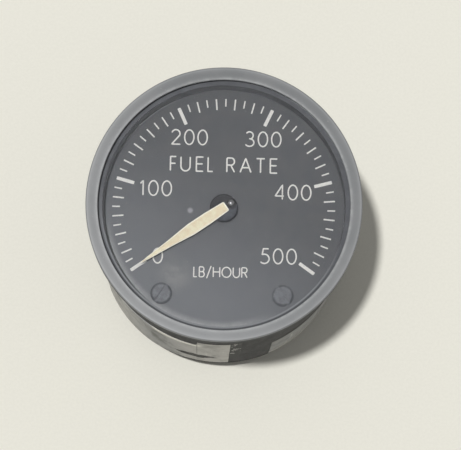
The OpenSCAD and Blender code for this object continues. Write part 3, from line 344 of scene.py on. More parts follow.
class Finish:
    """A material on Object coordinates, built one step at a time from noise, mixes and bumps."""

    def __init__(self, name, sheen_level=0.5):
        self.material = bpy.data.materials.new(name)
        self.material.use_nodes = True
        self.tree = self.material.node_tree
        self.shader = self.tree.nodes["Principled BSDF"]
        self.shader.inputs["Specular IOR Level"].default_value = sheen_level
        self.place = self.add("ShaderNodeTexCoord").outputs["Object"]

    def add(self, kind, **settings):
        """A new node with its settings."""
        node = self.tree.nodes.new(kind)
        for key, value in settings.items():
            setattr(node, key, value)
        return node

    def wire(self, value, socket):
        """Links an output to a socket, or sets a plain value on it."""
        if isinstance(value, bpy.types.NodeSocket):
            self.tree.links.new(value, socket)
        else:
            socket.default_value = value

    def maths(self, operation, a, b=0.0):
        """a and b through one arithmetic step."""
        node = self.add("ShaderNodeMath", operation=operation)
        self.wire(a, node.inputs[0])
        self.wire(b, node.inputs[1])
        return node.outputs[0]

    def stretched(self, scale):
        """The place on the piece, scaled along x, y and z."""
        node = self.add("ShaderNodeMapping")
        self.wire(self.place, node.inputs["Vector"])
        node.inputs["Scale"].default_value = scale
        return node.outputs[0]

    def noise(self, grain_mm, detail=3.0, rough=0.55, place=None):
        """Cloudy noise from 0 to 1 with grains of about grain_mm."""
        node = self.add("ShaderNodeTexNoise")
        self.wire(place or self.place, node.inputs["Vector"])
        node.inputs["Scale"].default_value = 1 / (grain_mm * MM)
        node.inputs["Detail"].default_value = detail
        node.inputs["Roughness"].default_value = rough
        return node.outputs["Fac"]

    def cells(self, grain_mm):
        """Distance to the nearest of scattered points, one in each grain_mm."""
        node = self.add("ShaderNodeTexVoronoi")
        self.wire(self.place, node.inputs["Vector"])
        node.inputs["Scale"].default_value = 1 / (grain_mm * MM)
        return node.outputs["Distance"]

    def mark(self, name):
        """The numbers that the piece's mesh holds under that name."""
        return self.add("ShaderNodeAttribute", attribute_name=name).outputs["Fac"]

    def span(self, value, low, high, to_low=0.0, to_high=1.0):
        """value from low to high, mapped smoothly to to_low to to_high and held past them."""
        node = mapped(self.tree, value, low, high, to_low, to_high)
        node.interpolation_type = "SMOOTHSTEP"
        return node.outputs["Result"]

    def mix(self, share, a, b):
        """Colour a with that share of colour b. A colour is a node's output or three numbers."""
        node = self.add("ShaderNodeMix", data_type="RGBA")
        self.wire(share, node.inputs[0])
        for value, socket in ((a, node.inputs[6]), (b, node.inputs[7])):
            self.wire(linear(value) if isinstance(value, tuple) else value, socket)
        return node.outputs[2]

    def patches(self, grain_mm, first, second, detail=3.0, rough=0.55, spread=MIDDLE):
        """Two colours in cloudy patches of about grain_mm."""
        return self.mix(self.span(self.noise(grain_mm, detail, rough), *spread), first, second)

    def shades(self, value, stops):
        """A colour that runs through the stops, each a number of the value and three numbers."""
        node = self.add("ShaderNodeValToRGB")
        low, high = stops[0][0], stops[-1][0]
        share = self.maths("DIVIDE", self.maths("SUBTRACT", value, low), high - low)
        self.wire(share, node.inputs[0])
        ramp = node.color_ramp.elements
        while len(ramp) < len(stops):
            ramp.new(1.0)
        for element, (at, colour) in zip(ramp, stops):
            element.position = (at - low) / (high - low)
            element.color = linear(colour)
        return node.outputs["Color"]

    def parts_of_place(self):
        """x, y and z of the place on the piece, in metres."""
        node = self.add("ShaderNodeSeparateXYZ")
        self.wire(self.place, node.inputs[0])
        return node.outputs[0], node.outputs[1], node.outputs[2]

    def along(self, degrees):
        """Distance in the dial's plane along a direction from the axis, in millimetres."""
        x, y, _ = self.parts_of_place()
        x = self.maths("MULTIPLY", x, math.cos(math.radians(degrees)) / MM)
        y = self.maths("MULTIPLY", y, math.sin(math.radians(degrees)) / MM)
        return self.maths("ADD", x, y)

    def from_axis(self, centre=(0.0, 0.0)):
        """Distance from an upright line through centre, in millimetres."""
        x, y, _ = self.parts_of_place()
        x = self.maths("SUBTRACT", x, centre[0] * MM)
        y = self.maths("SUBTRACT", y, centre[1] * MM)
        square = self.maths("ADD", self.maths("MULTIPLY", x, x), self.maths("MULTIPLY", y, y))
        return self.maths("DIVIDE", self.maths("SQRT", square), MM)

    def round_axis(self):
        """Angle round the gauge's axis from +X towards +Y, in degrees from 0 to 360."""
        x, y, _ = self.parts_of_place()
        angle = self.maths("DIVIDE", self.maths("ARCTAN2", y, x), math.radians(1))
        return self.maths("FLOORED_MODULO", angle, 360.0)

    def height(self):
        """Height above the table, in millimetres."""
        return self.maths("DIVIDE", self.parts_of_place()[2], MM)

    def band(self, value, low, high, soft):
        """1 where value is between low and high, falling to 0 over soft outside them."""
        rise = self.span(value, low - soft, low)
        fall = self.span(value, high, high + soft, 1.0, 0.0)
        return self.both(rise, fall)

    def both(self, a, b):
        """Where both masks hold."""
        return self.maths("MULTIPLY", a, b)

    def faint(self, mask, share):
        """The mask at a share of its strength."""
        return self.maths("MULTIPLY", mask, share)

    def wave(self, value, pitch_mm):
        """A wave of that pitch over a distance in millimetres, from 0 to 1."""
        wave = self.maths("SINE", self.maths("MULTIPLY", value, 2 * math.pi / pitch_mm))
        return self.maths("ADD", self.maths("MULTIPLY", wave, 0.5), 0.5)

    def colour(self, value):
        """Sets the surface's colour."""
        self.wire(value, self.shader.inputs["Base Color"])

    def roughness(self, value):
        """Sets how matt the surface is, from 0 to 1."""
        self.wire(value, self.shader.inputs["Roughness"])

    def metallic(self, value):
        """Sets how far the surface is bare metal, from 0 to 1."""
        self.wire(value, self.shader.inputs["Metallic"])

    def bump(self, height, depth_mm):
        """Raises the surface by depth_mm where height goes from 0 to 1, on top of earlier bumps."""
        node = self.add("ShaderNodeBump")
        node.inputs["Strength"].default_value = 1.0
        node.inputs["Distance"].default_value = depth_mm * MM
        self.wire(height, node.inputs["Height"])
        earlier = self.shader.inputs["Normal"].links
        if earlier:
            self.tree.links.new(earlier[0].from_socket, node.inputs["Normal"])
        self.tree.links.new(node.outputs[0], self.shader.inputs["Normal"])


# Plain finishes: sizes of their patches and grain, how deep the grain and the turning marks are,
# and how far wound wires stand out, as a share of their pitch
PATCH_MM, GRAIN_MM = 3.0, 0.25
GRAIN_DEPTH, RING_DEPTH, WIRE_DEPTH = 0.01, 0.015, 0.4


def plain_finish(name, colour, second, rough=(0.35, 0.55), metal=0.0, rings_mm=0.0, turns=None,
                 ior=1.5):
    """A finish whose colour drifts between two over patches, with fine grain in gloss and
    height. rings_mm gives turning marks round the axis, and turns = (direction, pitch) gives
    wound wires side by side along a direction in degrees, darker in the gaps between them with
    painted shade."""
    f = Finish(name)
    base = f.patches(PATCH_MM, colour, second, 4.0)
    grain = f.noise(GRAIN_MM, 3.0, 0.65)
    f.roughness(f.span(grain, *QUARTERS, *rough))
    f.metallic(metal)
    f.shader.inputs["IOR"].default_value = ior
    f.bump(grain, GRAIN_DEPTH)
    if rings_mm:
        f.bump(f.wave(f.from_axis(), rings_mm), RING_DEPTH)
    if turns:
        direction, pitch = turns
        wires = f.wave(f.along(direction), pitch)
        # Painted shade in the gaps between the wires
        gap = tuple(c // 3 for c in second)
        base = f.mix(f.span(wires, 0.3, 0.0, 0.0, 0.6), base, gap)
        f.bump(wires, pitch * WIRE_DEPTH)
    f.colour(base)
    return f.material


# In the values of each finish, tones go from 0 to 255. A name in _R holds the distances from the
# axis, or from a place that is named with it, where a change starts and is full, in millimetres.
# A name in _SIDE is a direction from the axis in degrees, and the pair with it holds the
# distances along it. A name in _Z holds heights, and one in _SECTOR angles round the axis.

ENAMEL_TONES = dict(
    paint=(130, 132, 133), drift=(139, 140, 141), dust_and_light=(165, 166, 167), wear_and_light=(186, 188, 187),
    chip=(196, 196, 192), dirt=(108, 110, 112), edge=(84, 86, 88), side=(70, 71, 72),
)
# Dust and painted light make the face paler towards this side
ENAMEL_LIGHT_SIDE, ENAMEL_LIGHT = 220.0, (-18.0, 27.0)
ENAMEL_WORN_R = (24.8, 24.15)
# The outer edge is darker: painted shade and dark reflection
ENAMEL_SHADED_EDGE_R = (26.06, 26.22)
# The bezel's side is black under a soft, slightly ragged line: partly its own black paint and
# partly painted shade, since the lamp overhead barely lights it
BLACK_SIDE_R = (26.0, 26.1)
BLACK_SIDE_Z = (BEZEL_TOP - 1.1, BEZEL_TOP - 1.5)
BLACK_SIDE_RAG = 0.15
BLACK_SIDE_ROUGH = 0.9


def bezel_enamel():
    """Satin grey enamel with a faint orange-peel skin. Dust and painted light make it paler
    towards the lower left; it is rubbed at its inner edge, with a few tiny chips. The outer edge
    is darker, a painted shade and dark reflection, and the side below it is black, partly its
    own paint and partly painted shade."""
    f, tone = Finish("bezel_grey", 0.3), ENAMEL_TONES
    r = f.from_axis()
    grain = f.noise(0.22, 3.0, 0.7)
    base = f.patches(9.0, tone["paint"], tone["drift"])
    # Dust and painted light: paler towards the lower left
    dust_and_light = f.span(f.along(ENAMEL_LIGHT_SIDE), *ENAMEL_LIGHT, 0.0, 0.8)
    dust_and_light = f.both(dust_and_light, f.span(f.noise(4.0, 4.0), 0.25, 0.7, 0.75, 1.0))
    base = f.mix(dust_and_light, base, tone["dust_and_light"])
    wear_and_light = f.both(f.span(r, *ENAMEL_WORN_R), f.span(f.noise(1.6, 4.0, 0.7), 0.4, 0.66, 0.2, 1.0))
    base = f.mix(f.faint(wear_and_light, 0.4), base, tone["wear_and_light"])
    chips = f.both(f.span(f.cells(1.1), 0.1, 0.05), f.span(f.noise(5.0), 0.52, 0.62))
    base = f.mix(f.faint(chips, 0.5), base, tone["chip"])
    dirt = f.span(f.noise(0.7, 5.0, 0.75), 0.58, 0.75, 0.0, 0.3)
    base = f.mix(dirt, base, tone["dirt"])
    # Painted shade and dark reflection at the outer edge
    base = f.mix(f.span(r, *ENAMEL_SHADED_EDGE_R, 0.0, 0.5), base, tone["edge"])
    # The black side: its own paint and painted shade
    rag = f.span(f.noise(0.8, 4.0), *MIDDLE, -BLACK_SIDE_RAG, BLACK_SIDE_RAG)
    low = f.span(f.maths("ADD", f.height(), rag), *BLACK_SIDE_Z)
    side = f.both(f.span(r, *BLACK_SIDE_R), low)
    f.colour(f.mix(side, base, tone["side"]))
    gloss = f.span(grain, *QUARTERS, 0.45, 0.62)
    f.roughness(f.maths("MAXIMUM", gloss, f.faint(side, BLACK_SIDE_ROUGH)))
    f.bump(grain, 0.012)
    f.bump(f.noise(1.0, 2.0), 0.02)
    return f.material


# Tint of the glass itself, and what it lets through to the dial as plain light
GLASS_TINT = (0.97, 0.97, 0.975, 1.0)
GLASS_PASSES = (0.955, 0.955, 0.965, 1.0)
GLASS_IOR = 1.5


def clear_glass():
    """Clear glass that lets the lamps through to the dial."""
    f = Finish("cover_glass")
    shader = f.shader
    shader.inputs["Base Color"].default_value = GLASS_TINT
    shader.inputs["Transmission Weight"].default_value = 1.0
    shader.inputs["IOR"].default_value = GLASS_IOR
    f.roughness(f.span(f.noise(6.0, 3.0), 0.35, 0.7, 0.0, 0.03))
    through = f.add("ShaderNodeBsdfTransparent")
    through.inputs["Color"].default_value = GLASS_PASSES
    rays = f.add("ShaderNodeLightPath")
    choose = f.add("ShaderNodeMixShader")
    lit = f.maths("MAXIMUM", rays.outputs["Is Shadow Ray"], rays.outputs["Is Diffuse Ray"])
    f.wire(lit, choose.inputs[0])
    f.wire(shader.outputs[0], choose.inputs[1])
    f.wire(through.outputs[0], choose.inputs[2])
    output = f.tree.nodes["Material Output"]
    f.wire(choose.outputs[0], output.inputs["Surface"])
    return f.material


DIAL_TONES = dict(
    paint=(84, 86, 88), drift=(90, 91, 92), mottle=(78, 80, 84), dust_and_light=(126, 129, 132),
    rim=(167, 169, 167), foot=(158, 160, 161), painted_reflection=(139, 140, 137), spot=(178, 176, 180),
    speck=(160, 160, 158),
)
# Towards this side the dial is paler: a painted sheen of the lamp
DIAL_SHEEN_SIDE, DIAL_SHEEN = 240.0, (-8.0, 23.0)
# The rim, paler with painted light, with how softly its sector ends, and the paler line at the
# spacer's foot, painted light that lifts the lamp's shadow on the dial's edge
DIAL_LIT_RIM_R, DIAL_LIT_RIM_SECTOR, DIAL_LIT_RIM_FADE = (21.4, 22.9), (205.0, 275.0), 25.0
DIAL_LIT_FOOT_R, DIAL_LIT_FOOT_SIDE, DIAL_LIT_FOOT = (22.85, 23.05), 178.0, (8.0, 19.0)
# Middles of the painted reflection, a faint pale patch, and of the one pale spot
REFLECTION_AT, REFLECTION_R = (-9.2, -13.0), (4.6, 0.5)
SPOT_AT, SPOT_R = (-6.45, -0.45), (0.75, 0.2)


def dial_slate():
    """Matt slate paint with a fine mottle. It is paler towards the lower left, a painted sheen,
    and along its rim there and in a line at its left edge, with painted light. Dust specks lie on
    it, with a pale spot and one faint pale patch, a painted reflection."""
    f, tone = Finish("dial_slate", 0.2), DIAL_TONES
    grain = f.noise(0.2, 4.0, 0.75)
    base = f.patches(3.5, tone["paint"], tone["drift"], 4.0, 0.6)
    base = f.mix(f.span(grain, 0.35, 0.7, 0.0, 0.4), base, tone["mottle"])
    # Painted sheen: paler towards the lower left
    painted_sheen = f.span(f.along(DIAL_SHEEN_SIDE), *DIAL_SHEEN, 0.0, 0.62)
    base = f.mix(painted_sheen, base, tone["dust_and_light"])
    # Painted light along the rim at the lower left
    rim = f.both(f.span(f.from_axis(), *DIAL_LIT_RIM_R),
                 f.band(f.round_axis(), *DIAL_LIT_RIM_SECTOR, DIAL_LIT_RIM_FADE))
    rim = f.both(rim, f.span(f.noise(1.2, 4.0, 0.7), 0.3, 0.65, 0.5, 0.72))
    base = f.mix(rim, base, tone["rim"])
    # Painted light at the dial's left edge, where the lamp's shadow falls
    foot = f.both(f.span(f.from_axis(), *DIAL_LIT_FOOT_R),
                  f.span(f.along(DIAL_LIT_FOOT_SIDE), *DIAL_LIT_FOOT, 0.0, 0.9))
    base = f.mix(foot, base, tone["foot"])
    # Painted reflection: a faint pale patch
    painted_reflection = f.both(f.span(f.from_axis(REFLECTION_AT), *REFLECTION_R),
                  f.span(f.noise(2.2, 4.0, 0.65), 0.35, 0.65, 0.15, 0.6))
    base = f.mix(painted_reflection, base, tone["painted_reflection"])
    base = f.mix(f.span(f.from_axis(SPOT_AT), *SPOT_R, 0.0, 0.6), base, tone["spot"])
    specks = f.both(f.span(f.cells(1.7), 0.07, 0.03), f.span(f.noise(7.0), 0.5, 0.62, 0.0, 0.5))
    f.colour(f.mix(specks, base, tone["speck"]))
    f.roughness(f.span(grain, *WIDE, 0.62, 0.8))
    f.bump(grain, 0.008)
    return f.material


SPACER_TONES = dict(
    paint=(91, 93, 96), drift=(102, 104, 107), wall=(112, 114, 117), wear_and_light=(152, 154, 157),
    lower_left_light=(132, 134, 136), dust_and_light=(134, 136, 138), gap=(82, 84, 86),
)
SPACER_WALL_Z = (SPACER_TOP - 0.1, SPACER_TOP - 0.5)
SPACER_WALL_LIGHT_SIDE, SPACER_WALL_LIGHT = 135.0, (0.0, 18.0)
SPACER_LOWER_LIGHT_SIDE, SPACER_LOWER_LIGHT = 237.0, (8.0, 20.0)
SPACER_LOWER_SIDE, SPACER_LOWER = 262.0, (2.0, 16.0)
# Dust and painted light make the spacer's face paler inside this edge, and the gap outside it
# stays dark
SPACER_FACE_R = (23.65, 23.5)


def spacer_slate():
    """Dark matt paint of the spacer, painted paler on its wall, most of all at the upper left, as
    painted light that lifts the shade there. Painted light makes it paler towards the lower
    left. Dust and painted light make it paler still on the face at the dial's foot."""
    f, tone = Finish("spacer_slate", 0.2), SPACER_TONES
    grain = f.noise(0.25, 4.0, 0.7)
    base = f.patches(2.0, tone["paint"], tone["drift"])
    wall = f.span(f.height(), *SPACER_WALL_Z)
    # Painted light: the wall is paler, lifting the shade on it
    base = f.mix(f.faint(wall, 0.8), base, tone["wall"])
    # Painted light on the wall, strongest at the upper left
    wear_and_light = f.both(wall, f.span(f.along(SPACER_WALL_LIGHT_SIDE), *SPACER_WALL_LIGHT, 0.0, 0.9))
    base = f.mix(wear_and_light, base, tone["wear_and_light"])
    # Painted light: paler towards the lower left
    lower_left_light = f.span(f.along(SPACER_LOWER_LIGHT_SIDE), *SPACER_LOWER_LIGHT, 0.0, 0.8)
    base = f.mix(lower_left_light, base, tone["lower_left_light"])
    lower = f.span(f.along(SPACER_LOWER_SIDE), *SPACER_LOWER)
    # Dust and painted light on the face towards the bottom
    dust_and_light = f.both(lower, f.span(grain, 0.2, 0.6, 0.8, 1.0))
    dust_and_light = f.both(dust_and_light, f.span(f.height(), *SPACER_WALL_Z[::-1]))
    dust_and_light = f.both(dust_and_light, f.span(f.from_axis(), *SPACER_FACE_R))
    base = f.mix(dust_and_light, base, tone["dust_and_light"])
    gap = f.both(lower, f.span(f.from_axis(), *SPACER_FACE_R[::-1]))
    f.colour(f.mix(gap, base, tone["gap"]))
    f.roughness(f.span(grain, *WIDE, 0.6, 0.8))
    f.bump(grain, 0.01)
    return f.material


SCREW_TONES = dict(paint=(101, 103, 106), drift=(118, 121, 124), rim=(74, 76, 79))
# The darker ring near the edge of a screw's head, and where it ends past the edge
SCREW_RIM_R = (DIAL_HEAD_R - 0.45, DIAL_HEAD_R - 0.1)
SCREW_END_R = (DIAL_HEAD_R + 0.3, DIAL_HEAD_R + 0.1)


def screw_slate():
    """The dial screws' paint: slate like the dial but rubbed, and darker round the rim."""
    f, tone = Finish("dial_screw_slate", 0.2), SCREW_TONES
    grain = f.noise(0.18, 4.0, 0.7)
    base = f.patches(0.9, tone["paint"], tone["drift"])
    for angle in DIAL_SCREW_ANGLES:
        r = f.from_axis(polar(DIAL_SCREW_POS, angle))
        rim = f.both(f.span(r, *SCREW_RIM_R), f.span(r, *SCREW_END_R))
        base = f.mix(f.faint(rim, 0.5), base, tone["rim"])
    f.colour(base)
    f.roughness(f.span(grain, *WIDE, 0.6, 0.75))
    f.bump(grain, 0.008)
    return f.material


CREAM_TONES = dict(
    paint=(226, 219, 187), drift=(219, 203, 168), grain=(232, 228, 208), rim=(250, 248, 234),
)


def pointer_cream():
    """Aged cream paint on the pointer: warmer patches along the blade and paler rims, a painted
    highlight along its edges.
    """
    f, tone = Finish("pointer_cream", 0.3), CREAM_TONES
    base = f.patches(1.6, tone["paint"], tone["drift"], 3.0, 0.6, (0.35, 0.65))
    grain = f.noise(0.12, 3.0, 0.7)
    base = f.mix(f.span(grain, 0.4, 0.75, 0.0, 0.25), base, tone["grain"])
    # The paler rims are a painted highlight along the blade's edges, tail and tip
    rim = f.span(f.mark("rim"), 0.3, 1.0, 0.0, 0.7)
    f.colour(f.mix(rim, base, tone["rim"]))
    f.roughness(f.span(grain, *WIDE, 0.5, 0.65))
    f.bump(grain, 0.006)
    return f.material


HUB_TONES = dict(
    metal=(58, 61, 66), drift=(70, 73, 79), rim=(38, 39, 42), shade=(22, 22, 24),
    rivet=(20, 20, 22),
)
HUB_RIM_R = (2.15, 2.5)
# The painted shade, blacker: distances beside the blade, above it, and back along it
HUB_SHADE_ABOVE, HUB_SHADE_BACK = (0.2, 1.2), (-2.6, -1.8)
RIVET_SHADE_R = (1.5, 0.9)
HUB_RING_PITCH = 0.3


def hub_black():
    """Blackened metal of the pointer's hub, rubbed grey on its face and darker at its rim. It is
    blacker above the blade and round the rivet, with painted shade."""
    f, tone = Finish("hub_black", 0.2), HUB_TONES
    grain = f.noise(0.15, 4.0, 0.7)
    base = f.patches(0.8, tone["metal"], tone["drift"])
    base = f.mix(f.span(f.from_axis(), *HUB_RIM_R, 0.0, 0.5), base, tone["rim"])
    shade = f.both(f.span(f.along(POINTER_ANGLE - 90), *HUB_SHADE_ABOVE),
                   f.span(f.along(POINTER_ANGLE - 180), *HUB_SHADE_BACK))
    base = f.mix(f.faint(shade, 0.85), base, tone["shade"])
    r = f.from_axis(polar(RIVET_POS, POINTER_ANGLE - 180))
    f.colour(f.mix(f.span(r, *RIVET_SHADE_R, 0.0, 0.85), base, tone["rivet"]))
    f.roughness(f.span(grain, *QUARTERS, 0.5, 0.7))
    f.bump(grain, 0.006)
    f.bump(f.wave(f.from_axis(), HUB_RING_PITCH), 0.006)
    return f.material


RIVET_TONES = (14, 14, 15), (26, 26, 28)
RIVET_COAT = (("Coat Weight", 1.0), ("Coat IOR", 2.2), ("Coat Roughness", 0.14))


def rivet_black():
    """Polished black of the balance rivet, faintly scratched."""
    f = Finish("rivet_black", 1.0)
    grain = f.noise(0.3, 3.0, 0.6)
    f.colour(f.mix(grain, *RIVET_TONES))
    f.roughness(f.span(grain, *MIDDLE, 0.15, 0.2))
    for socket, number in RIVET_COAT:
        f.shader.inputs[socket].default_value = number
    f.bump(f.noise(0.08, 2.0), 0.001)
    return f.material


CASE_TONES = dict(
    paint=(62, 62, 63), drift=(76, 76, 76), rub=(78, 78, 78), seam=(84, 84, 83),
    scuff=(200, 199, 195), rim=(110, 109, 107), foot=(24, 24, 24),
)
# The grey seam beside the long label, and the bare scuffs on it
SEAM_SECTOR, SEAM_Z = (274.8, 279.4), (12.0, 53.0)
SCUFF_SECTOR, SCUFF_Z = (275.2, 279.4), (33.0, 51.0)
CASE_RIM_Z = (CASE_FOOT + 0.5, CASE_FOOT + 0.1)
# The paint is darker towards the foot: painted shade at the rolled rim
CASE_FOOT_SHADE_Z = (CASE_FOOT + 3.4, CASE_FOOT + 2.6)


def case_black():
    """Satin black paint with long scuffs and a dusting. Its rear rim is rubbed, and a grey seam
    with a few bare scuffs shows where the long label ends. Towards its foot it is darker, with
    painted shade at the rolled rim."""
    f, tone = Finish("case_black", 0.05), CASE_TONES
    angle, z = f.round_axis(), f.height()
    grain = f.noise(0.2, 4.0, 0.7)
    rub = f.noise(1.8, 5.0, 0.7, f.stretched((1.0, 1.0, 0.25)))
    base = f.mix(f.span(grain, *MIDDLE), tone["paint"], tone["drift"])
    base = f.mix(f.span(rub, 0.55, 0.8, 0.0, 0.45), base, tone["rub"])
    seam = f.both(f.band(angle, *SEAM_SECTOR, 0.4), f.band(z, *SEAM_Z, 1.5))
    base = f.mix(f.both(seam, f.span(rub, 0.35, 0.65, 0.0, 0.7)), base, tone["seam"])
    marks = f.noise(1.5, 4.0, 0.7, f.stretched((1.0, 1.0, 0.45)))
    scuff = f.both(f.band(angle, *SCUFF_SECTOR, 0.5), f.span(marks, 0.53, 0.6))
    scuff = f.both(scuff, f.band(z, *SCUFF_Z, 3.0))
    base = f.mix(scuff, base, tone["scuff"])
    rim = f.both(f.span(z, *CASE_RIM_Z), f.span(rub, 0.45, 0.65))
    base = f.mix(f.faint(rim, 0.35), base, tone["rim"])
    # Painted shade towards the foot
    f.colour(f.mix(f.span(z, *CASE_FOOT_SHADE_Z, 0.0, 0.7), base, tone["foot"]))
    f.roughness(f.span(rub, 0.3, 0.75, 0.6, 0.78))
    f.bump(grain, 0.008)
    f.bump(f.span(rub, 0.5, 0.8), 0.01)
    return f.material


FOIL_TONES = dict(smudge=(112, 112, 110), grain=(96, 96, 94), hair=(214, 213, 209))
# Tones round the long label and round the short one, by angle
LONG_LABEL_TONES = [
    (204.0, (178, 177, 174)),
    (222.0, (178, 177, 174)),
    (236.0, (156, 156, 156)),
    (242.0, (150, 150, 151)),
    (256.0, (178, 176, 173)),
    (274.0, (186, 184, 180)),
]
SHORT_LABEL_TONES = [
    (294.0, (132, 132, 131)),
    (320.0, (122, 122, 122)),
    (352.0, (118, 118, 118)),
]


def worn_foil(name, stops):
    """Bare metal foil of a label. Its tone runs round the case through the stops, with smudges,
    hairline scratches and pits."""
    f, tone = Finish(name, 0.1), FOIL_TONES
    grain = f.noise(0.15, 4.0, 0.75)
    smudge = f.noise(3.2, 5.0, 0.65, f.stretched((1.0, 1.0, 0.4)))
    hair = f.noise(0.5, 3.0, 0.6, f.stretched((1.0, 1.0, 0.05)))
    base = f.shades(f.round_axis(), stops)
    base = f.mix(f.span(smudge, 0.45, 0.7, 0.0, 0.45), base, tone["smudge"])
    base = f.mix(f.span(grain, 0.55, 0.8, 0.0, 0.4), base, tone["grain"])
    base = f.mix(f.span(hair, 0.6, 0.72, 0.0, 0.35), base, tone["hair"])
    f.metallic(0.1)
    f.roughness(f.span(smudge, *MIDDLE, 0.45, 0.62))
    f.bump(grain, 0.006)
    f.bump(smudge, 0.02)
    return f, base, smudge


LONG_LABEL_MARKS = dict(edge=(226, 224, 216), wipe=(104, 104, 101), torn=(6, 6, 6),
                        line=(98, 98, 96))
EDGE_SECTOR, EDGE_Z = (240.0, 259.2), (44.8, 48.0)
WIPE_SECTOR, WIPE_Z = (238.0, 243.5), (27.0, 41.0)
LINE_SECTOR, LINE_Z = (259.35, 259.65), (26.0, 29.0)
# Middle and half sizes of the patch where the long label is torn, and how ragged it is
TORN_ANGLE, TORN_HALF_ANGLE = 258.6, 10.4
TORN_Z, TORN_HALF_HEIGHT = 23.2, 3.7
TORN_RAG = 0.9


def long_label_foil():
    """The long label's foil: a bright rubbed edge along its top, one dark wipe, a torn patch that
    shows black and tapers by 1 - u^2 to both ends, and a fine upright line."""
    f, base, smudge = worn_foil("label_foil", LONG_LABEL_TONES)
    tone = LONG_LABEL_MARKS
    angle, z = f.round_axis(), f.height()
    grain = f.noise(0.6, 4.0, 0.7)
    edge = f.both(f.band(z, *EDGE_Z, 1.6), f.band(angle, *EDGE_SECTOR, 4.0))
    base = f.mix(f.both(edge, f.span(grain, 0.25, 0.55, 0.5, 1.0)), base, tone["edge"])
    wipe = f.both(f.band(angle, *WIPE_SECTOR, 2.5), f.band(z, *WIPE_Z, 4.0))
    base = f.mix(f.both(wipe, f.span(smudge, 0.35, 0.6, 0.35, 0.85)), base, tone["wipe"])
    along = f.maths("DIVIDE", f.maths("SUBTRACT", angle, TORN_ANGLE), TORN_HALF_ANGLE)
    taper = f.maths("SUBTRACT", 1.0, f.both(along, along))
    ragged = f.span(f.noise(2.2, 3.0, 0.6), *MIDDLE, -TORN_RAG, TORN_RAG)
    off = f.maths("ADD", f.maths("SUBTRACT", z, TORN_Z), ragged)
    off = f.maths("DIVIDE", f.maths("ABSOLUTE", off), TORN_HALF_HEIGHT)
    torn = f.span(f.maths("SUBTRACT", taper, off), 0.0, 0.1)
    base = f.mix(torn, base, tone["torn"])
    upright = f.both(f.band(angle, *LINE_SECTOR, 0.1), f.span(z, *LINE_Z))
    f.colour(f.mix(f.faint(upright, 0.7), base, tone["line"]))
    return f.material


SHORT_LABEL_EDGE_Z = (10.0, 13.0)
SHORT_LABEL_EDGE_TONE = (164, 162, 156)


def short_label_foil():
    """The short label's plainer grey foil, paler along its lower edge."""
    f, base, smudge = worn_foil("label_grey", SHORT_LABEL_TONES)
    edge = f.both(f.band(f.height(), *SHORT_LABEL_EDGE_Z, 1.0),
                  f.span(smudge, 0.3, 0.6, 0.4, 1.0))
    f.colour(f.mix(edge, base, SHORT_LABEL_EDGE_TONE))
    return f.material


# Tones of the printing where it covers well and where it is thin
PRINT_FULL, PRINT_THIN = (220, 219, 212), (178, 178, 174)


def printed_white():
    """Thin white printing, a little uneven in its cover."""
    f = Finish("printing_white", 0.3)
    cover = f.noise(0.3, 4.0, 0.7)
    f.colour(f.mix(f.span(cover, 0.45, 0.75, 0.0, 0.5), PRINT_FULL, PRINT_THIN))
    f.roughness(f.span(cover, *MIDDLE, 0.5, 0.7))
    f.bump(cover, 0.006)
    return f.material


BOARD_TONES = dict(lacquer=(26, 92, 52), drift=(22, 80, 46), track=(84, 150, 84))
# Distance between the board's tracks, the part of each wave that is track, and the parts of the
# noise that the tracks across and down show in
TRACK_PITCH = 1.27
TRACK_EDGE = (0.86, 0.94)
ACROSS_PART, DOWN_PART = (0.5, 0.52), (0.5, 0.48)


def board_green():
    """Lacquered board with thin tracks in both directions under the green."""
    f, tone = Finish("board_green"), BOARD_TONES
    x, y, _ = f.parts_of_place()
    patch = f.noise(3.0, 4.0)
    base = f.mix(f.span(patch, *MIDDLE), tone["lacquer"], tone["drift"])
    across, down = (
        f.both(f.span(f.wave(f.maths("DIVIDE", way, MM), TRACK_PITCH), *TRACK_EDGE),
               f.span(f.noise(5.0), *part))
        for way, part in ((x, ACROSS_PART), (y, DOWN_PART))
    )
    tracks = f.maths("MAXIMUM", across, down)
    f.colour(f.mix(f.faint(tracks, 0.7), base, tone["track"]))
    f.roughness(f.span(patch, *MIDDLE, 0.15, 0.3))
    f.bump(tracks, 0.03)
    return f.material


# Direction that the coil's wires lie side by side in, and their pitch
COIL_TURNS = (125.0, 0.16)

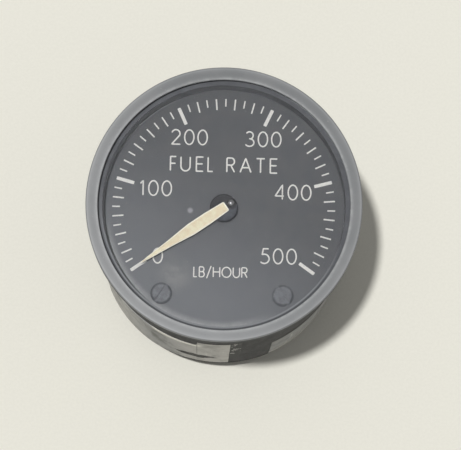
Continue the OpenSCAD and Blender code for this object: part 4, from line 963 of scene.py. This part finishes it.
PLAIN_FINISHES = {
    "rubber_black": dict(colour=(94, 94, 95), second=(103, 102, 101), rough=(0.65, 0.85)),
    "ring_steel": dict(colour=(168, 165, 156), second=(142, 138, 128), metal=1.0),
    "plate_alloy": dict(colour=(196, 196, 192), second=(176, 176, 174), metal=1.0, rings_mm=0.5),
    "screw_steel": dict(colour=(198, 198, 194), second=(172, 170, 164), metal=1.0,
                        rough=(0.22, 0.4)),
    "brass": dict(colour=(214, 182, 112), second=(186, 150, 88), metal=1.0, rough=(0.2, 0.4)),
    "jewel_red": dict(colour=(176, 22, 48), second=(148, 14, 40), rough=(0.04, 0.1), ior=1.76),
    "spring_bronze": dict(colour=(198, 146, 92), second=(172, 118, 70), metal=1.0,
                          rough=(0.2, 0.35)),
    "coil_copper": dict(colour=(196, 104, 62), second=(164, 78, 44), metal=1.0,
                        rough=(0.15, 0.3), turns=COIL_TURNS),
    "soft_iron": dict(colour=(132, 134, 138), second=(108, 108, 110), metal=1.0, rings_mm=0.6),
    "magnet_dark": dict(colour=(78, 80, 86), second=(96, 97, 100), metal=0.8, rough=(0.4, 0.6)),
    "can_steel": dict(colour=(190, 186, 174), second=(168, 162, 150), metal=1.0),
    "capacitor_blue": dict(colour=(52, 84, 142), second=(44, 72, 124), rough=(0.15, 0.3)),
    "resistor_tan": dict(colour=(150, 106, 72), second=(134, 92, 60), rough=(0.2, 0.35)),
    "trimmer_blue": dict(colour=(38, 66, 158), second=(32, 56, 138), rough=(0.3, 0.45)),
    "lead_tinned": dict(colour=(206, 202, 190), second=(184, 178, 164), metal=1.0),
    "receptacle_alloy": dict(colour=(164, 166, 165), second=(144, 146, 146), metal=1.0,
                             rough=(0.32, 0.5)),
    "stud_steel": dict(colour=(196, 198, 200), second=(176, 178, 180), metal=1.0),
    "insert_brown": dict(colour=(68, 34, 28), second=(56, 28, 24), rough=(0.3, 0.5)),
    "contact_gold": dict(colour=(224, 188, 98), second=(204, 166, 82), metal=1.0,
                         rough=(0.12, 0.25)),
}


def finish_nodes():
    """Every CAD node gets the finish of its material slot from the record."""
    made = {
        "bezel_grey": bezel_enamel(),
        "cover_glass": clear_glass(),
        "dial_slate": dial_slate(),
        "screw_black": screw_slate(),
        "pointer_cream": pointer_cream(),
        "hub_black": hub_black(),
        "case_black": case_black(),
        "spacer_dark": spacer_slate(),
        "board_green": board_green(),
    }
    for slot, values in PLAIN_FINISHES.items():
        made[slot] = plain_finish(slot, **values)
    for row in frame["record"]["subparts"]:
        obj = frame["nodes"][row["node"]]
        finish = made[row["material_slot"]]
        if not obj.material_slots:
            obj.data.materials.append(finish)
        for slot in obj.material_slots:
            slot.material = finish
    return made


def set_floor():
    """Plain pale paper under the gauge."""
    points = np.array([[-1, -1, 0], [1, -1, 0], [1, 1, 0], [-1, 1, 0]]) * FLOOR_HALF
    mesh = bpy.data.meshes.new("floor")
    mesh.from_pydata((points * MM).tolist(), [], [[0, 1, 2, 3]])
    floor = bpy.data.objects.new("floor", mesh)
    bpy.context.scene.collection.objects.link(floor)
    f = Finish("paper", 0.1)
    f.colour(f.patches(0.6, PAPER, tuple(c - PAPER_DROP for c in PAPER)))
    f.roughness(0.9)
    mesh.materials.append(f.material)


# Bezel

# Sizes of the bezel's section, and how round its edges are
BEZEL_OPEN_R = 24.05
BEZEL_POCKET_R = 25.75
BEZEL_HOOK_R = 25.1
BEZEL_FOOT_R = 25.45
FACE_DISH = 1.0
LIP_LIFT = 0.2
EDGE_ROUND = 0.34
NOSE_ROUND = 0.22
ROLL_ROUND = 0.26
FLANGE_Z = PANEL_Z + 0.5
# Share of the face's fall that is S-shaped, the rest being straight, and its steps
FACE_CURVE = 0.5
FACE_STEPS = 15


def bezel_section():
    """The ring's section: a rounded outer wall, a face that falls to the lip by
    dish (t + c (s(t) - t)), with s(t) a half cosine, a round nose, and the pocket for glass and
    flange."""
    wall = BEZEL_R - EDGE_ROUND
    face_in = BEZEL_OPEN_R + NOSE_ROUND
    t = np.linspace(0, 1, FACE_STEPS)[1:-1]
    fall = t + FACE_CURVE * ((1 - np.cos(np.pi * t)) / 2 - t)
    face = np.stack([wall + (face_in - wall) * t, BEZEL_TOP - FACE_DISH * fall], axis=1)
    lip_top = BEZEL_TOP - FACE_DISH
    lip_z = GLASS_TOP + LIP_LIFT
    return np.concatenate([
        [(BEZEL_HOOK_R, PANEL_Z + ROLL_ROUND), (BEZEL_FOOT_R, PANEL_Z)],
        quarter((BEZEL_R - ROLL_ROUND, PANEL_Z + ROLL_ROUND), ROLL_ROUND, 270),
        quarter((wall, BEZEL_TOP - EDGE_ROUND), EDGE_ROUND, 0, 9),
        face,
        quarter((face_in, lip_top - NOSE_ROUND), NOSE_ROUND, 90, 7),
        [(BEZEL_OPEN_R, lip_z), (BEZEL_POCKET_R, lip_z), (BEZEL_POCKET_R, FLANGE_Z),
         (BEZEL_HOOK_R, FLANGE_Z)],
    ])


# Pointer

# Half widths of the blade by distance from the pivot
BLADE_PLACES = (-0.6, 3.8, 7.6, 12.55, 17.5, 19.2)
BLADE_HALVES = (1.0, 1.2, 1.2, 0.675, 0.3, 0.06)
BLADE_CORNER = 0.24
BLADE_EDGE = 0.1
BLADE_CROWN = 0.05
# Points along the blade, round its rear corners, round its edges and across its crown
BLADE_STATIONS, CORNER_STEPS, EDGE_STEPS, CROWN_STEPS = 120, 8, 5, 13
# Half widths under which the blade's edge and its crown get smaller
EDGE_FULL_HALF, CROWN_FULL_HALF = 0.2, 0.6
# Share of the half width past which the rim starts, and how long the rim is at tail and tip:
# the finish paints a highlight along this rim
HIGHLIGHT_FROM = 0.6
HIGHLIGHT_TAIL, HIGHLIGHT_TIP = 0.2, 0.4
BLADE_SMOOTH_ANGLE = 50
HUB_R = 2.7
HUB_HOLE_R = 0.42
HUB_COLLAR_R = 1.2
HUB_COLLAR_H = 0.4
HUB_EDGE = 0.2
# Where the step turned in the hub's face starts and ends, and how deep it is
HUB_STEP_OUT, HUB_STEP_IN, HUB_STEP_DEPTH = HUB_R * 0.82, HUB_R * 0.8, 0.03
RIVET_R = 0.8
RIVET_SHANK_R = 0.3
HUB_TURN_STEPS, RIVET_TURN_STEPS, DOME_STEPS = 144, 64, 14


def blade_sheet():
    """The blade: at each distance x from the pivot a section of half width w(x), with rounded
    upper edges and a top that is crowned by c (1 - u^2) across u from -1 to 1. The rear corners
    are rounded by a quarter circle. Also gives how near each point lies to the rim, 0 to 1, where
    the finish paints a highlight."""
    tail, tip = BLADE_PLACES[0], BLADE_PLACES[-1]
    corner = tail + BLADE_CORNER * (1 - np.cos(np.linspace(0, np.pi / 2, CORNER_STEPS)))
    x = np.unique(np.concatenate([corner, np.linspace(tail, tip, BLADE_STATIONS)]))
    w = np.interp(x, BLADE_PLACES, BLADE_HALVES)
    lack = np.clip(BLADE_CORNER - (x - tail), 0, BLADE_CORNER)
    w = w - BLADE_CORNER + np.sqrt(BLADE_CORNER**2 - lack**2)
    edge = BLADE_EDGE * np.minimum(1, w / EDGE_FULL_HALF)
    crown = BLADE_CROWN * np.minimum(1, w / CROWN_FULL_HALF)
    thick = BLADE_TOP - BLADE_Z - BLADE_CROWN
    bend = np.radians(np.linspace(0, 90, EDGE_STEPS))
    across = np.linspace(1, -1, CROWN_STEPS)[1:-1]
    y = [-w + edge / 2, w - edge / 2]
    z = [0 * w, 0 * w]
    rim = [1.0, 1.0]
    for side, turn in ((1, bend), (-1, bend[::-1])):
        for a in turn:
            y.append(side * (w - edge * (1 - np.cos(a))))
            z.append(thick - edge * (1 - np.sin(a)))
            rim.append(1.0)
        if side == 1:
            for u in across:
                y.append(u * (w - edge))
                z.append(thick + crown * (1 - u**2))
                rim.append(max(0.0, (abs(u) - HIGHLIGHT_FROM) / (1 - HIGHLIGHT_FROM)))
    y, z = np.stack(y, axis=1), np.stack(z, axis=1)
    a = math.radians(POINTER_ANGLE)
    points = np.stack(
        [x[:, None] * math.cos(a) - y * math.sin(a),
         x[:, None] * math.sin(a) + y * math.cos(a),
         BLADE_Z + z],
        axis=2,
    )
    rows, columns = y.shape
    faces = [grid_quads(rows, columns, False, True)[:, ::-1]]
    cap = np.arange(columns)[None, :]
    faces += [cap[:, ::-1], cap + (rows - 1) * columns]
    near = np.broadcast_to(rim, (rows, columns)).copy()
    near[(x < tail + HIGHLIGHT_TAIL) | (x > tip - HIGHLIGHT_TIP)] = 1.0
    return (points.reshape(-1, 3), faces), near.ravel()


def hub_section():
    """The hub's section: a collar under a disc with rounded edges and a shallow turned step."""
    disc_z = HUB_FOOT + HUB_COLLAR_H
    out = HUB_R - HUB_EDGE
    return np.concatenate([
        [(HUB_HOLE_R, HUB_FOOT), (HUB_COLLAR_R, HUB_FOOT), (HUB_COLLAR_R, disc_z)],
        quarter((out, disc_z + HUB_EDGE), HUB_EDGE, 270),
        quarter((out, HUB_TOP - HUB_EDGE), HUB_EDGE, 0),
        [(HUB_STEP_OUT, HUB_TOP), (HUB_STEP_IN, HUB_TOP - HUB_STEP_DEPTH),
         (HUB_HOLE_R, HUB_TOP - HUB_STEP_DEPTH)],
    ])


def rivet_section():
    """The rivet's section: a shank, then a head whose dome is a quarter ellipse."""
    a = np.radians(np.linspace(0, 90, DOME_STEPS))
    dome = np.stack([RIVET_R * np.cos(a), HUB_TOP + (RIVET_TOP - HUB_TOP) * np.sin(a)], axis=1)
    dome[-1, 0] = 0
    shank_z = HUB_FOOT + HUB_COLLAR_H
    return np.concatenate([[(0, shank_z), (RIVET_SHANK_R, shank_z), (RIVET_SHANK_R, HUB_TOP)],
                           dome])


def make_front(made):
    """The bezel and the pointer's three pieces, each finer than the CAD node it stands for."""
    stand_in("bezel_enamelled_ring", turned(bezel_section()), made["bezel_grey"], "case",
             "bezel_ring", "bezel_grey")
    blade, near = blade_sheet()
    stand_in("pointer_crowned_blade", blade, made["pointer_cream"], "pointer",
             "pointer_blade", "pointer_cream", smooth_angle=BLADE_SMOOTH_ANGLE,
             marks={"rim": near})
    stand_in("pointer_turned_hub", turned(hub_section(), HUB_TURN_STEPS), made["hub_black"],
             "pointer", "pointer_hub", "hub_black")
    centre = polar(RIVET_POS, POINTER_ANGLE - 180)
    stand_in("pointer_domed_rivet", turned(rivet_section(), RIVET_TURN_STEPS, centre),
             rivet_black(), "pointer", "pointer_rivet", "hub_black")


# Dial printing

# The paint's thickness, how far it goes into the dial, and how much each stroke tops the last
PRINT_T = 0.03
PRINT_SINK = 0.01
STROKE_STEP = 0.002
# The printing sits a little above the dial's centre
PRINT_RISE = 0.04
TICK_OUT_R = 21.48
TICK_COUNT = 51
SCALE_START = 215.0
SCALE_SWEEP = 250.0
# Length and width of the marks at each hundred, each twenty and the tens between
MAJOR_TICK = (3.5, 0.64)
MEDIUM_TICK = (2.14, 0.28)
SHORT_TICK = (1.5, 0.26)
# Every how many marks there is a major one and a medium one
MAJOR_EVERY, MEDIUM_EVERY = 10, 2
NUMERAL_CAP = 3.12
NUMERAL_STROKE = 0.27
NUMERAL_GAP = 0.52
# Signs with more room after them, and how much
WIDE_GAPS = {"1": 0.26, "4": 0.03}
# Each number: where it starts and the height of its middle
NUMERALS = {
    "0": (-13.53, -9.4),
    "100": (-16.29, 3.72),
    "200": (-10.49, 13.82),
    "300": (3.82, 13.71),
    "400": (9.75, 3.44),
    "500": (7.15, -9.04),
}
# Each printed word: where it starts, the height of its middle and the gaps between its signs
LEGEND_WORDS = {"FUEL": (-10.6, 8.58, (0.63, 0.93, 0.62)), "RATE": (0.3, 8.52, (0.8, 0.75, 0.8))}
LEGEND_CAP = 3.05
LEGEND_STROKE = 0.28
UNIT_WORDS = {"LB/HOUR": (-5.62, -12.34, (0.2,) * 6)}
UNIT_CAP = 2.16
UNIT_STROKE = 0.23


def arc(cx, cy, rx, ry, start, end, steps=28):
    """Points (cx + rx cos a, cy + ry sin a) for a from start to end degrees."""
    a = np.radians(np.linspace(start, end, steps))
    return np.stack([cx + rx * np.cos(a), cy + ry * np.sin(a)], axis=1)


def line(*corners):
    """Points along the straight runs between the corners, closely spaced."""
    corners = np.asarray(corners, float)
    steps = np.linspace(0, 1, 14)[:, None]
    runs = [a + (b - a) * steps for a, b in zip(corners[:-1], corners[1:])]
    return np.concatenate([runs[0], *[r[1:] for r in runs[1:]]])


def path(*runs):
    """Several runs as one path, each starting where the one before it ends."""
    return np.concatenate([runs[0], *[r[1:] for r in runs[1:]]])


# Each sign: its width as a share of its height, and its strokes in a box 1 wide and 1 high
SIGNS = {
    "0": (0.66, [arc(0.5, 0.5, 0.5, 0.5, 0, 360, 64)[:-1]]),
    "1": (0.27, [line((0.94, 0), (0.94, 1.0), (0.0, 0.8))]),
    "2": (0.64, [path(arc(0.47, 0.72, 0.45, 0.28, 165, -22, 30),
                      line((0.887, 0.615), (0.02, 0.0), (1.0, 0.0)))]),
    "3": (0.62, [arc(0.45, 0.75, 0.42, 0.25, 150, -80, 28),
                 arc(0.45, 0.26, 0.52, 0.26, 95, -150, 34)]),
    "4": (0.62, [line((0.82, 0.0), (0.82, 1.0), (0.0, 0.24), (1.0, 0.24))]),
    "5": (0.62, [line((0.92, 1.0), (0.3, 1.0), (0.16, 0.57)),
                 arc(0.42, 0.315, 0.56, 0.315, 118, -140, 34)]),
    "F": (0.455, [line((0, 0), (0, 1), (1, 1)), line((0, 0.52), (0.9, 0.52))]),
    "U": (0.675, [path(line((0, 1), (0, 0.36)), arc(0.5, 0.36, 0.5, 0.36, 180, 360),
                      line((1, 0.36), (1, 1)))]),
    "E": (0.535, [line((1, 0), (0, 0), (0, 1), (1, 1)), line((0, 0.52), (0.9, 0.52))]),
    "L": (0.4, [line((0, 1), (0, 0), (1, 0))]),
    "R": (0.58, [line((0, 0), (0, 1)),
                 path(line((0, 1), (0.55, 1)), arc(0.55, 0.75, 0.42, 0.25, 90, -90),
                      line((0.55, 0.5), (0, 0.5))),
                 line((0.5, 0.5), (1.0, 0.0))]),
    "A": (0.78, [line((0, 0), (0.5, 1), (1, 0)), line((0.17, 0.34), (0.83, 0.34))]),
    "T": (0.62, [line((0, 1), (1, 1)), line((0.5, 1), (0.5, 0))]),
    "B": (0.56, [line((0, 0), (0, 1)),
                 path(line((0, 1), (0.5, 1)), arc(0.5, 0.76, 0.4, 0.24, 90, -90),
                      line((0.5, 0.52), (0, 0.52))),
                 path(line((0.5, 0.52), (0.52, 0.52)), arc(0.52, 0.26, 0.46, 0.26, 90, -90),
                      line((0.52, 0), (0, 0)))]),
    "H": (0.68, [line((0, 0), (0, 1)), line((1, 0), (1, 1)), line((0, 0.52), (1, 0.52))]),
    "O": (0.9, [arc(0.5, 0.5, 0.5, 0.5, 0, 360, 64)[:-1]]),
    "/": (0.5, [line((0, -0.14), (1, 1.12))]),
}
CLOSED_SIGNS = "0O"
# How far a stroke's round end is drawn in, and where it gets extra points, as shares of its
# half width
END_DEPTH = 0.9
END_PLACES = (0.04, 0.12, 0.25, 0.45, 0.7, 1.0)


def run_lengths(points):
    """Length along the path up to each of its points."""
    return np.concatenate([[0], np.cumsum(np.linalg.norm(np.diff(points, axis=0), axis=1))])


def round_ends(points, half):
    """Half widths along an open path: sqrt(h^2 - (h - s)^2) within h of either end, where s is
    the length from that end, and h elsewhere. At the very end h - s stops at END_DEPTH h."""
    lengths = run_lengths(points)
    s = np.minimum(lengths, lengths[-1] - lengths)
    lack = np.clip(half - s, 0, half * END_DEPTH)
    return np.sqrt(half**2 - lack**2)


def with_ends(points, half):
    """The path with extra points close to both ends, so that its rounding is smooth."""
    lengths = run_lengths(points)
    near = half * np.array(END_PLACES)
    places = np.unique(np.concatenate([lengths, near, lengths[-1] - near]))
    return np.stack([np.interp(places, lengths, points[:, i]) for i in (0, 1)], axis=1)


def printed_word(text, start, middle, cap, stroke, gaps):
    """One word as strips of paint: each sign's strokes, scaled so that its outer height is cap,
    from a start in x and about a middle in y, with the given gaps between the signs."""
    half = stroke / 2
    x = start
    strips = []
    for sign, gap in zip(text, (*gaps, 0.0)):
        width = SIGNS[sign][0] * cap
        for number, stroke_path in enumerate(SIGNS[sign][1]):
            spread = np.array([max(width - stroke, 0.0), cap - stroke])
            placed = np.array([x + half, middle + PRINT_RISE - cap / 2 + half])
            placed = placed + stroke_path * spread
            low = DIAL_TOP - PRINT_SINK
            high = DIAL_TOP + PRINT_T + STROKE_STEP * (number + 1)
            if sign in CLOSED_SIGNS:
                strips.append(swept_strip(placed, half, low, high, True))
            else:
                placed = with_ends(placed, half)
                strips.append(swept_strip(placed, round_ends(placed, half), low, high))
        x += width + gap
    return joined(strips)


def printed_numeral(text, start, middle):
    """One number of the scale, with the room that each of its signs keeps after it."""
    gaps = [NUMERAL_GAP + WIDE_GAPS.get(sign, 0.0) for sign in text[:-1]]
    return printed_word(text, start, middle, NUMERAL_CAP, NUMERAL_STROKE, gaps)


def scale_marks():
    """The marks round the dial: one strip from radius R - length to R for each ten units,
    clockwise from 0, with corners rounded by a fifth of its width."""
    strips = []
    for i in range(TICK_COUNT):
        length, width = SHORT_TICK
        if i % MAJOR_EVERY == 0:
            length, width = MAJOR_TICK
        elif i % MEDIUM_EVERY == 0:
            length, width = MEDIUM_TICK
        out = np.array(polar(1.0, SCALE_START - SCALE_SWEEP * i / (TICK_COUNT - 1)))
        rise = np.array([0.0, PRINT_RISE])
        run = line(out * (TICK_OUT_R - length) + rise, out * TICK_OUT_R + rise)
        run = with_ends(run, width / 2)
        corner = width / 5
        half = np.minimum(width / 2, width / 2 - corner + round_ends(run, corner))
        strips.append(swept_strip(run, half, DIAL_TOP - PRINT_SINK, DIAL_TOP + PRINT_T))
    return joined(strips)


def print_dial(white):
    """The scale's marks, its numerals and two plain legends, as thin paint on the dial."""
    put_mesh("scale_marks", scale_marks(), white, "case")
    numerals = [printed_numeral(text, *place) for text, place in NUMERALS.items()]
    put_mesh("dial_numerals", joined(numerals), white, "case")
    for name, words, cap, stroke in (("dial_legend", LEGEND_WORDS, LEGEND_CAP, LEGEND_STROKE),
                                     ("unit_legend", UNIT_WORDS, UNIT_CAP, UNIT_STROKE)):
        strips = [
            printed_word(text, start, middle, cap, stroke, gaps)
            for text, (start, middle, gaps) in words.items()
        ]
        put_mesh(name, joined(strips), white, "case")


# Foil labels

# Thickness of a label, its gap to the case, the depth of its ripple and of its ragged edges
LABEL_T = 0.08
LABEL_GAP = 0.005
LABEL_RIPPLE = 0.03
LABEL_RAG = 0.9
# Whole-number waves round the case that make the ragged edges
FOOT_WAVES, TOP_WAVES = (23, 41, 67), (19, 37, 71)
LABEL_ROWS, LABEL_COLUMNS = 220, 36
# Where each label starts and ends round the case, in degrees
LONG_LABEL = (204.0, 274.4)
SHORT_LABEL = (294.5, 352.0)
# Heights of the labels' edges, by angle
LONG_FOOT = ((204, 9.4), (236, 9.8), (247, 11.4), (257.7, 12.2), (274, 12.0))
LONG_TOP = ((204, 47.6), (236, 47.9), (259.2, 46.4), (259.6, 52.6), (274, 53.0))
SHORT_FOOT = ((294, 11.2), (352, 11.0))
SHORT_TOP = ((294, 35.6), (307, 36.6), (352, 36.2))


def wavy(values, size, waves):
    """A ragged sum of sines over the waves k: size times the sum of sin(k v + k^2) / k."""
    return size * sum(np.sin(k * values + k * k) / k for k in waves)


def edge_height(degrees, corners):
    """Height of a label's edge at each angle: straight between its corners (angle, height)."""
    angles, levels = zip(*corners)
    return np.interp(degrees, angles, levels)


def foil_label(sector, foot, top):
    """A thin sheet round the barrel. Its outer face is (r cos a, r sin a, z) with r = case
    radius + thickness + ripple sin(9 a + 0.21 z) sin(0.37 z + 2 a), which fades out at the
    edges. Its inner face lies on the case, and its edges are a little ragged in z."""
    degrees = np.linspace(*sector, LABEL_ROWS)
    a = np.radians(degrees)
    z_low = edge_height(degrees, foot) + wavy(a, LABEL_RAG, FOOT_WAVES)
    z_high = edge_height(degrees, top) + wavy(a + 2, LABEL_RAG, TOP_WAVES)
    share = np.linspace(0, 1, LABEL_COLUMNS)
    z = z_low[:, None] + (z_high - z_low)[:, None] * share
    ripple = np.sin(9 * a[:, None] + z * 0.21) * np.sin(z * 0.37 + 2 * a[:, None])
    edge = np.minimum(share, 1 - share) * 2
    outer = CASE_R + LABEL_T + LABEL_RIPPLE * ripple * np.sqrt(edge)
    inner = np.full_like(outer, CASE_R + LABEL_GAP)
    r = np.concatenate([outer, inner[:, ::-1]], axis=1)
    z = np.concatenate([z, z[:, ::-1]], axis=1)
    points = np.stack([r * np.cos(a)[:, None], r * np.sin(a)[:, None], z], axis=2)
    count = 2 * LABEL_COLUMNS
    faces = [grid_quads(LABEL_ROWS, count, False, True)]
    k = np.arange(LABEL_COLUMNS - 1)
    cap = np.stack([k, k + 1, count - 2 - k, count - 1 - k], axis=1)
    faces += [cap, cap[:, ::-1] + (LABEL_ROWS - 1) * count]
    return points.reshape(-1, 3), faces


def stick_labels():
    """Two bare foil labels on the barrel: a long one at the left and a shorter one at the right."""
    put_mesh("label_left", foil_label(LONG_LABEL, LONG_FOOT, LONG_TOP), long_label_foil(),
             "case")
    put_mesh("label_right", foil_label(SHORT_LABEL, SHORT_FOOT, SHORT_TOP), short_label_foil(),
             "case")


# Building

set_camera()
set_lamp()
set_sky()
set_floor()
finishes = finish_nodes()
make_front(finishes)
print_dial(printed_white())
stick_labels()
